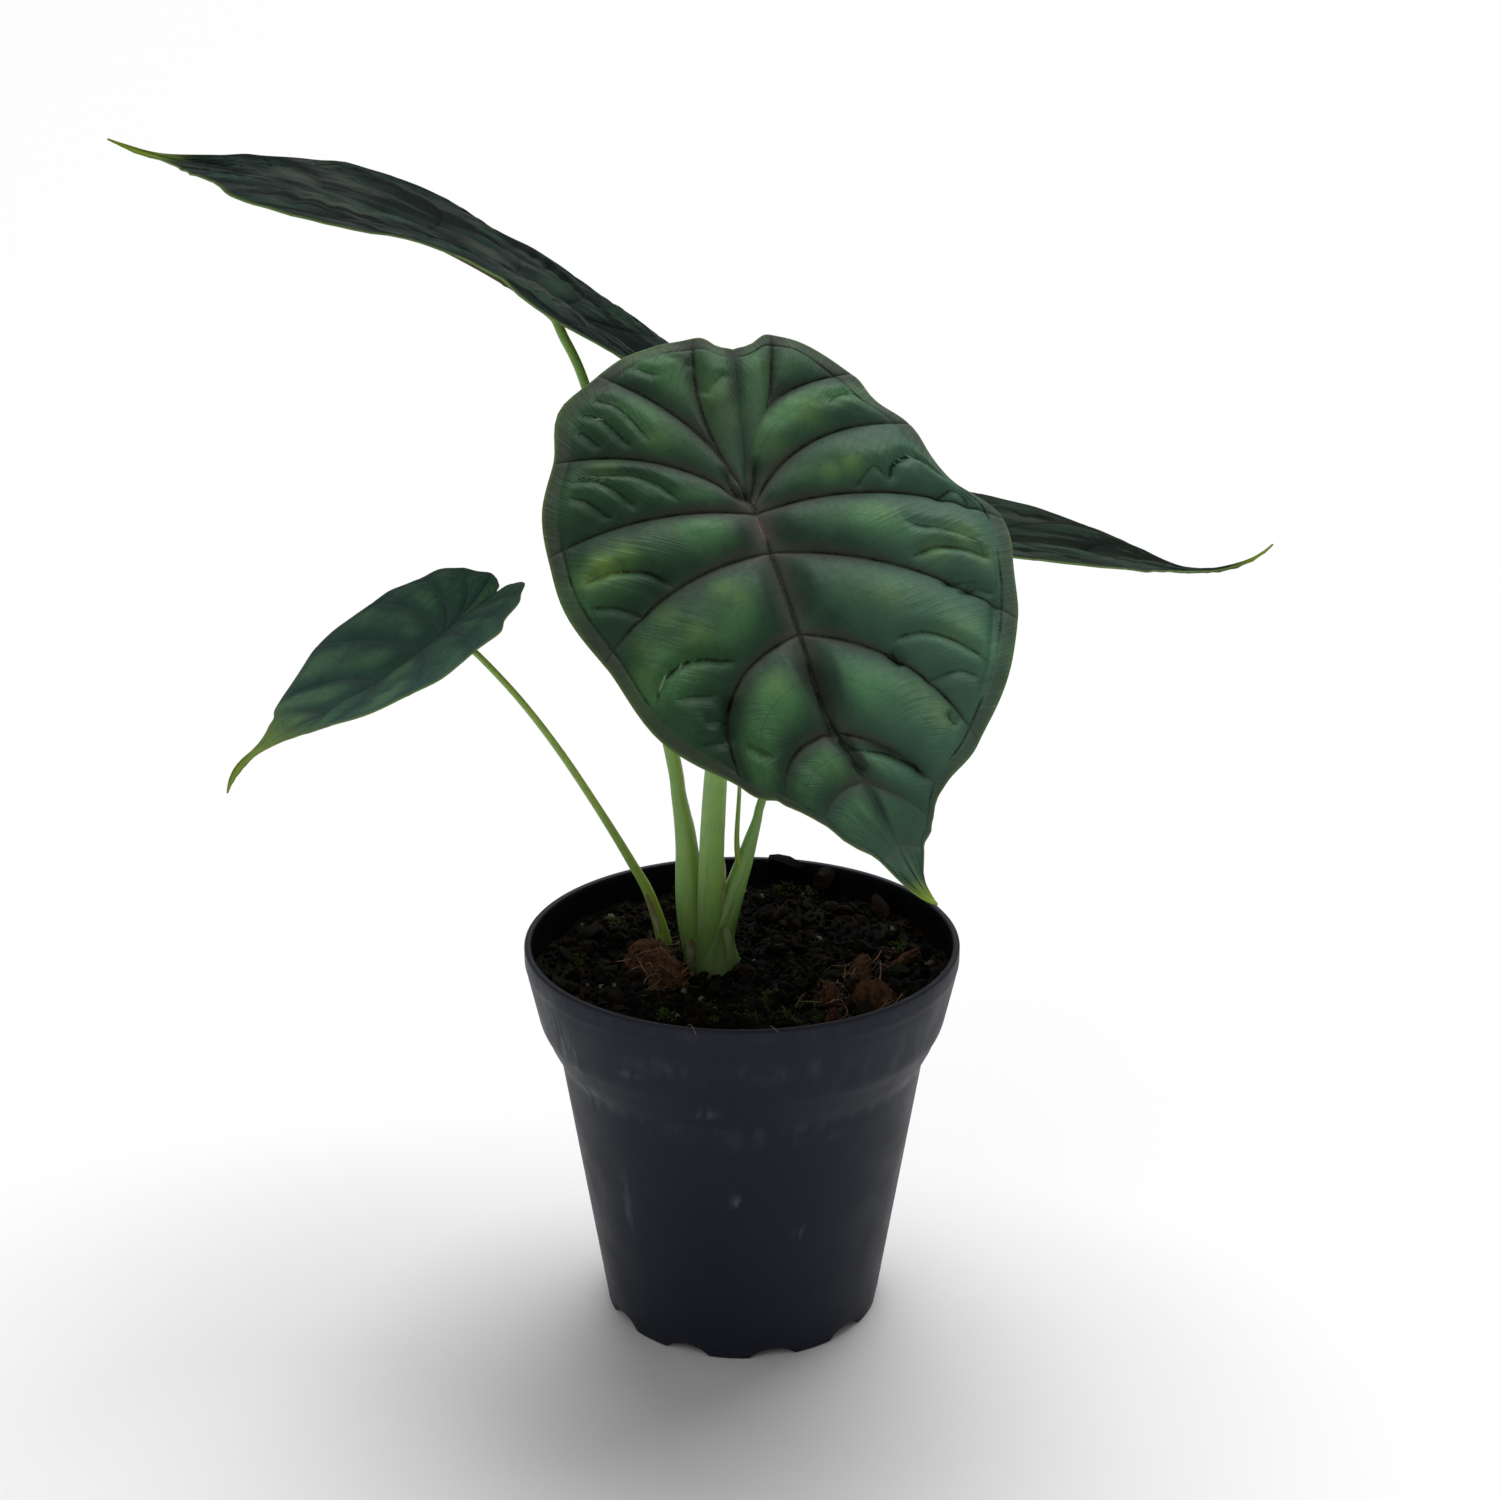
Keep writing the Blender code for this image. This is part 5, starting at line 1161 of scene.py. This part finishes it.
def drawn_half(leaf, side, out):
    """Flat grid of one half of the drawn blade, from the notch round to the tip. Every vein is an arc from
    the midrib to the margin, and the rows between two run on a smooth curve through the nearest four.
    Rows stand closer beside the veins. Also returned: panel number, share across it, and its width."""
    sign = 1 if side == "right" else -1
    line = np.array(leaf["midrib"], float)
    starts = np.array([HUB_BACK, *VEIN_STARTS, DRAWN_LENGTH])
    origins = np.stack([np.interp(starts, line[:, 0], line[:, 1]) * sign, starts], axis=1)
    ends = np.array([(leaf["notch"][0] * sign, leaf["notch"][1], 0), *leaf[side], (*origins[-1], 0)], float)
    chord = ends[:, :2] - origins
    square = np.stack([-chord[:, 1], chord[:, 0]], axis=1)
    square /= np.maximum(np.hypot(*chord.T), 1e-9)[:, None]
    bow = ends[:, 2, None, None] * 4 * (out * (1 - out))[None, :, None]
    veins = origins[:, None] + chord[:, None] * out[None, :, None] - bow * square[:, None]
    ring = np.concatenate([2 * veins[:1] - veins[1:2], veins, 2 * veins[-1:] - veins[-2:-1]])
    blend = smooth_step(out, 0, 0.35)[None, :, None]
    swells = leaf["swells"][0 if side == "right" else 1]
    grids, panels, shares, widths = [], [], [], []
    for panel, rows in enumerate(PANEL_ROWS):
        before, this, after, last = (ring[panel + k][None] for k in range(4))
        edge = after[0, -1] - this[0, -1]
        outward = np.array([edge[1], -edge[0]]) / max(np.hypot(*edge), 1e-6)
        rows = 2 * round(rows * leaf["finer"] / 2)
        u = np.linspace(0, 1, rows + 1) if panel == len(PANEL_ROWS) - 1 else np.arange(rows) / rows
        f = (u - 0.75 * np.sin(TURN * u) / TURN)[:, None, None]
        curve = catmull_rom(before, this, after, last, f)
        swell = swells[panel] * np.sin(math.pi * f) ** 2 * (out ** 3)[None, :, None] * outward
        grids.append(curve * blend + (this * (1 - f) + after * f) * (1 - blend) + swell)
        panels.append(np.full(grids[-1].shape[:2], panel))
        shares.append(f[..., 0] * np.ones_like(out))
        widths.append(np.hypot(*(after - this)[0].T) * np.ones((len(u), 1)))
    grid, panel, share, width = (np.concatenate(parts) for parts in (grids, panels, shares, widths))
    a, b = grid[..., 0] * sign, grid[..., 1]
    middle = np.interp(b, line[:, 0], line[:, 1])
    neck = np.clip((b - NECK_START) / NECK_RUN, 0, 1)
    drip = np.clip((b - DRIP_START) / DRIP_RUN, 0, 1)
    narrowed = middle + (a - middle) * (1 - (1 - leaf["neck"]) * neck)
    lengthened = np.where(b < 0, b * leaf["lobe"], b) + leaf["drip"] * drip
    return narrowed, lengthened, middle, panel, share, width


def blade_columns(count):
    """Shares from midrib to margin, standing closer beside the midrib, the inner vein and the margin."""
    fine = np.linspace(0, 1, 2001)
    density = (1 + 3.5 * np.exp(-(fine / 0.03) ** 2) + 2.5 * np.exp(-((fine - INNER_MARGIN) / 0.014) ** 2)
               + 1.2 * np.exp(-((fine - 1) / 0.02) ** 2))
    total = running_total(density)
    return np.interp(np.linspace(0, total[-1], count), total, fine)


def side_creases(a, b):
    """The valley depth of the side creases at points of the large leaf's drawing, the distance to the
    nearest crease with the sign of its side, and that crease's strength, which fades out at its ends."""
    depth, nearest, strength = np.zeros_like(a), np.full_like(a, 9.0), np.zeros_like(a)
    for knots, deep in SIDE_CREASES:
        line = smooth_line([(*knot, 0) for knot in knots], 0.8)[0][:, :2]
        ahead = np.gradient(line, axis=0)
        ahead /= np.hypot(*ahead.T)[:, None]
        apart_a, apart_b = a[..., None] - line[:, 0], b[..., None] - line[:, 1]
        closest = np.hypot(apart_a, apart_b).argmin(-1)
        apart_a, apart_b = (np.take_along_axis(v, closest[..., None], -1)[..., 0] for v in (apart_a, apart_b))
        along = apart_a * ahead[closest, 0] + apart_b * ahead[closest, 1]
        aside = apart_a * ahead[closest, 1] - apart_b * ahead[closest, 0]
        share = (closest * 0.8 + along) / (0.8 * (len(line) - 1))
        fade = smooth_step(share, 0, 0.22) * (1 - smooth_step(share, 0.78, 1))
        depth = np.maximum(depth, 1.7 * deep * fade * np.exp(-(aside / 1.6) ** 2))
        closer = np.abs(aside) < np.abs(nearest)
        near_fade = deep * fade * (1 - smooth_step(np.abs(aside), 0.8, 1.6))
        nearest = np.where(closer & (fade > 0), aside, nearest)
        strength = np.where(closer & (fade > 0), near_fade, strength)
    return depth, nearest, np.minimum(1.4 * strength, 1)


def half_faces(rows, columns, under_rows, under_columns):
    """Faces of half a blade: the upper grid, the grid underneath with every second row and column, and the
    bead of points between them round the margin."""
    rim_first = rows * columns
    under_first = rim_first + under_rows
    edge = np.arange(0, rows - 1, 2) * columns + columns - 1
    beads = rim_first + np.arange(under_rows - 1)
    below = under_first + np.arange(under_rows - 1) * under_columns + under_columns - 1
    round_edge = [(edge, beads, edge + columns), (edge + columns, beads, beads + 1),
                  (edge + columns, beads + 1, edge + 2 * columns), (beads, below, below + under_columns),
                  (beads, below + under_columns, beads + 1)]
    return np.concatenate([grid_faces(rows, columns, False),
                           grid_faces(under_rows, under_columns, False)[:, ::-1] + under_first,
                           *(triples(*corners) for corners in round_edge)])


def blade_half(name, leaf, side):
    """One half of a blade: its upper face as a fine grid, the rim round the margin and the underside as a
    grid of every second row and column, with their marks and flat places. The upper face is the bent
    drawing raised along its normal by quilting, with valleys pressed in along the creases."""
    out = blade_columns(leaf["columns"])
    a, b, middle, panel, share, width = drawn_half(leaf, side, out)
    scale_a = leaf["mirror"] * leaf["half"] * MM / DRAWN_HALF
    scale_b = leaf["length"] * MM / DRAWN_LENGTH
    size = leaf["half"] / DRAWN_HALF
    seed = leaf["seed"] * 10 + (1 if side == "right" else 2)
    nudge = 0.05 * MM
    at, far, centre = a * scale_a, b * scale_b, middle * scale_a
    rise_a = bent_blade(name, leaf, at + nudge, far, centre) - bent_blade(name, leaf, at - nudge, far, centre)
    rise_b = bent_blade(name, leaf, at, far + nudge, centre) - bent_blade(name, leaf, at, far - nudge, centre)
    normal = unit(np.cross(rise_b, rise_a))

    is_large = name == "front"
    first_panel, last_panel = panel == 0, panel == len(PANEL_ROWS) - 1
    ends = np.where(first_panel, smooth_step(share, 0, 0.3), 1)
    ends = ends * np.where(last_panel, smooth_step(1 - share, 0, 0.3), 1)
    quilt = np.sin(np.pi * np.clip(share, 0, 1)) ** 0.9 * np.minimum(1, width / 22)
    quilt *= smooth_step(out, 0, 0.14) * (1 - smooth_step(out, INNER_MARGIN - 0.13, 1.0))
    height = quilt * (1 - 0.88 * smooth_step(b, 74, 92)) * leaf["quilt"]

    from_start = np.where(first_panel, 9, share * width * size)
    from_end = np.where(last_panel, 9, (1 - share) * width * size)
    from_vein = np.minimum(from_start, from_end)
    from_midrib = np.abs(a - middle) * size
    panel_seed = panel * 3.7 + seed
    wander = value_noise(out * 9, panel_seed, 0, seed) - 0.5
    bulges = value_noise(out * leaf["half"] / 7, share * width * size / 7, panel_seed, seed + 2) - 0.5
    small_bulges = value_noise(out * leaf["half"] / 2.6, share * width * size / 5, panel_seed, seed + 1) - 0.5
    inside = np.sin(np.pi * np.clip(share, 0, 1)) * smooth_step(out, 0.1, 0.3) * smooth_step(width, 6, 16)
    height += (0.9 * bulges + 0.3 * small_bulges * smooth_step(out, 0.3, 0.7)) * inside * ends * size
    slanted = out * leaf["half"] + 0.5 * leaf["half"] * share
    if is_large:
        side_depth, side_at, side_strength = side_creases(a, b)
    else:
        side_at = ((slanted / 8.5 + 1.3 * wander + panel * 0.37) % 1 - 0.5) * 8.5
        side_strength = smooth_step(out, 0.35, 0.6) * smooth_step(INNER_MARGIN - out, -0.01, 0.06) * inside
        side_depth = 0.75 * side_strength * np.exp(-(side_at / 1.7) ** 2) * size
        side_strength = 0.6 * side_strength * (1 - smooth_step(np.abs(side_at), 0.8, 1.6))
    height -= side_depth * smooth_step(INNER_MARGIN - out, -0.02, 0.04)
    from_inner = (out - INNER_MARGIN) * leaf["half"]
    stroke = ends * smooth_step(value_noise(b / 8, seed, 0, seed + 6), 0.34, 0.56)
    stroke = stroke * (1 - smooth_step(b, 80, 95))
    beside_inner = np.abs(from_inner) < 1.6
    side_at = np.where(beside_inner, from_inner, side_at)
    side_strength = np.where(beside_inner, stroke, side_strength * (out < INNER_MARGIN))
    vein_deep = ends * (1 - 0.94 * smooth_step(b, 62, 80)) * (1 - 0.6 * smooth_step(out, 0.85, 1.0))
    rib_fade = np.clip(1 - b / 135, 0.2, 1)
    midrib_deep = smooth_step(b, HUB_BACK - 3, HUB_BACK) * (1 - 0.93 * smooth_step(b, 68, 80))
    vein_valley = np.exp(-(from_vein / (0.75 * size ** 0.5)) ** 2) * vein_deep
    midrib_valley = np.exp(-(from_midrib / (0.9 * size * rib_fade)) ** 2) * midrib_deep
    inner_valley = np.exp(-(from_inner / 0.7) ** 2) * ends
    height -= (0.18 * vein_valley + 0.35 * midrib_valley + 0.15 * inner_valley) * size ** 0.5
    upper = bent_blade(name, leaf, at, far, centre) + normal * height[..., None] * MM

    thin = np.maximum(smooth_step(out, 0.3, 1.0), np.where(last_panel, share, 0))
    depth = leaf["thickness"] * (1 - thin) + MARGIN_THICKNESS * thin
    rib_end = 1 - smooth_step(b, DRAWN_LENGTH - 30, DRAWN_LENGTH - 6)
    midrib = np.exp(-(from_midrib / (1.3 * size * rib_fade)) ** 2) * rib_fade
    midrib = midrib * smooth_step(b, HUB_BACK - 3, 0)
    side_rib = np.exp(-(from_vein / size) ** 2) * (1 - smooth_step(out, 0.2, 0.85))
    ribs = 1.5 * midrib + 0.5 * side_rib * smooth_step(out, 0, 0.08) * ends
    coarse = (slice(None, None, 2), slice(None, None, 2))
    lower = (upper - normal * ((depth + ribs * rib_end) * MM)[..., None])[coarse]
    outward = upper[:, -1] - upper[:, -4]
    outward[-1] = upper[-1, -1] - upper[-8, 0]
    rim = (upper[::2, -1] + lower[:, -1]) / 2 + unit(outward)[::2] * EDGE_ROUND

    # Band beside the midrib and veins: duller tone, and painted valley shade on the upper left and right
    # leaves
    along_midrib = np.exp(-(from_midrib / (3.4 * size)) ** 2) * rib_fade * smooth_step(b, -9, -2)
    vein_band = (0.8 + 1.7 * (1 - out) ** 1.5) * size
    along_vein = np.exp(-(from_vein / vein_band) ** 2) * (1 - 0.75 * out) * ends
    beside = np.maximum(along_midrib, along_vein) * (1 - 0.65 * smooth_step(b, 70, 90))
    # Painted highlight and lighter green on the hub side of each panel's crest
    crest_tone_and_highlight = smooth_step(share, 0.04, 0.34) * (1 - smooth_step(share, 0.5, 0.96))
    glow = crest_tone_and_highlight * (0.35 + 0.75 * smooth_step(value_noise(a / 13, b / 13, 0, seed + 4), 0.25, 0.75))
    lime = np.zeros_like(a)
    for patch_a, patch_b, patch_radius, strength in BRIGHT_AND_HIGHLIT_PATCHES if is_large else []:
        patch = strength * np.exp(-((a - patch_a) ** 2 + (b - patch_b) ** 2) / patch_radius ** 2)
        glow = np.maximum(glow, patch)
        lime = np.maximum(lime, 0.4 * patch ** 2)
    notch_glow = 0.3 * first_panel * smooth_step(share, 0.1, 0.5) * smooth_step(-b, 2, 12)
    glow = np.maximum(glow * np.sqrt(inside), notch_glow)
    one = np.ones_like(a)
    border = smooth_step(out, INNER_MARGIN - 0.01, INNER_MARGIN + 0.02) * one
    # Painted bluish sheen on the large leaf's right half and towards its tip
    painted_sheen = is_large * np.maximum(smooth_step(0.8 * a + 0.35 * b, 5, 45), smooth_step(b, 72, 92))
    shaded = smooth_step(-a, -2, 30) * (1 - smooth_step(b, 75, 95))
    shaded = np.maximum(shaded, smooth_step(-b, 0, 10) * np.exp(-((a + 2) / 15) ** 2))
    shaded = is_large * np.maximum(shaded, 0.8 * smooth_step(b, 76, 92))
    # Painted highlight on the raised midrib just past the hub
    raised = is_large * np.exp(-(from_midrib / 0.9) ** 2) * smooth_step(b, 2, 4) * (1 - smooth_step(b, 9, 12))
    tip = smooth_step(b, leaf["yellow_from"], DRAWN_LENGTH + leaf["drip"] * 0.4)
    tip = np.maximum(np.maximum(tip, 0.2 * smooth_step(out, 0.985, 1.0)), lime * np.sqrt(inside))
    signed_vein = np.where(from_start < from_end, from_start, -from_end)
    values = {
        "crease_places": (signed_vein, side_at * one, from_midrib),
        "crease_depths": (vein_deep, side_strength, midrib_deep),
        "tone_marks": (beside, glow, border),
        "end_marks": (tip, 0 * one, leaf["wrinkles"] * smooth_step(out, 0.2, 0.6) * np.sqrt(inside)),
        "wrinkle_places": (slanted * one, share * width * size, panel_seed * one),
        "cast_marks": (painted_sheen, shaded, raised),
    }
    marks = {}
    for label, parts in values.items():
        above = np.stack(np.broadcast_arrays(*parts), axis=-1)
        below = above[coarse].copy()
        if label == "end_marks":
            below[..., 1:] = (1, 0)
        marks[label] = np.concatenate([above.reshape(-1, 3), below[:, -1], below.reshape(-1, 3)])
    flat = np.stack([a * size, b * leaf["length"] / DRAWN_LENGTH], axis=-1) / 100 + seed * 0.37
    flat = np.concatenate([flat.reshape(-1, 2), flat[::2, -1], flat[coarse].reshape(-1, 2)])
    points = np.concatenate([upper.reshape(-1, 3), rim, lower.reshape(-1, 3)])
    return points, half_faces(*a.shape, *lower.shape[:2]), marks, flat


for name, leaf in LEAVES.items():
    halves = [blade_half(name, leaf, side) for side in ("right", "left")]
    (points, faces, marks, flat), (other_points, other_faces, other_marks, other_flat) = halves
    skin = leaf_skin("leaf_skin_" + name, *SKIN_COLOURS[name], leaf)
    blade = new_piece("quilted_leaf_" + name, np.concatenate([points, other_points]),
                      np.concatenate([faces, other_faces[:, ::-1] + len(points)]), skin,
                      [(label, np.concatenate([marks[label], other_marks[label]])) for label in marks],
                      np.concatenate([flat, other_flat]), sharp_deg=75)
    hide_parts("blade_" + name)
    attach(blade, "root")
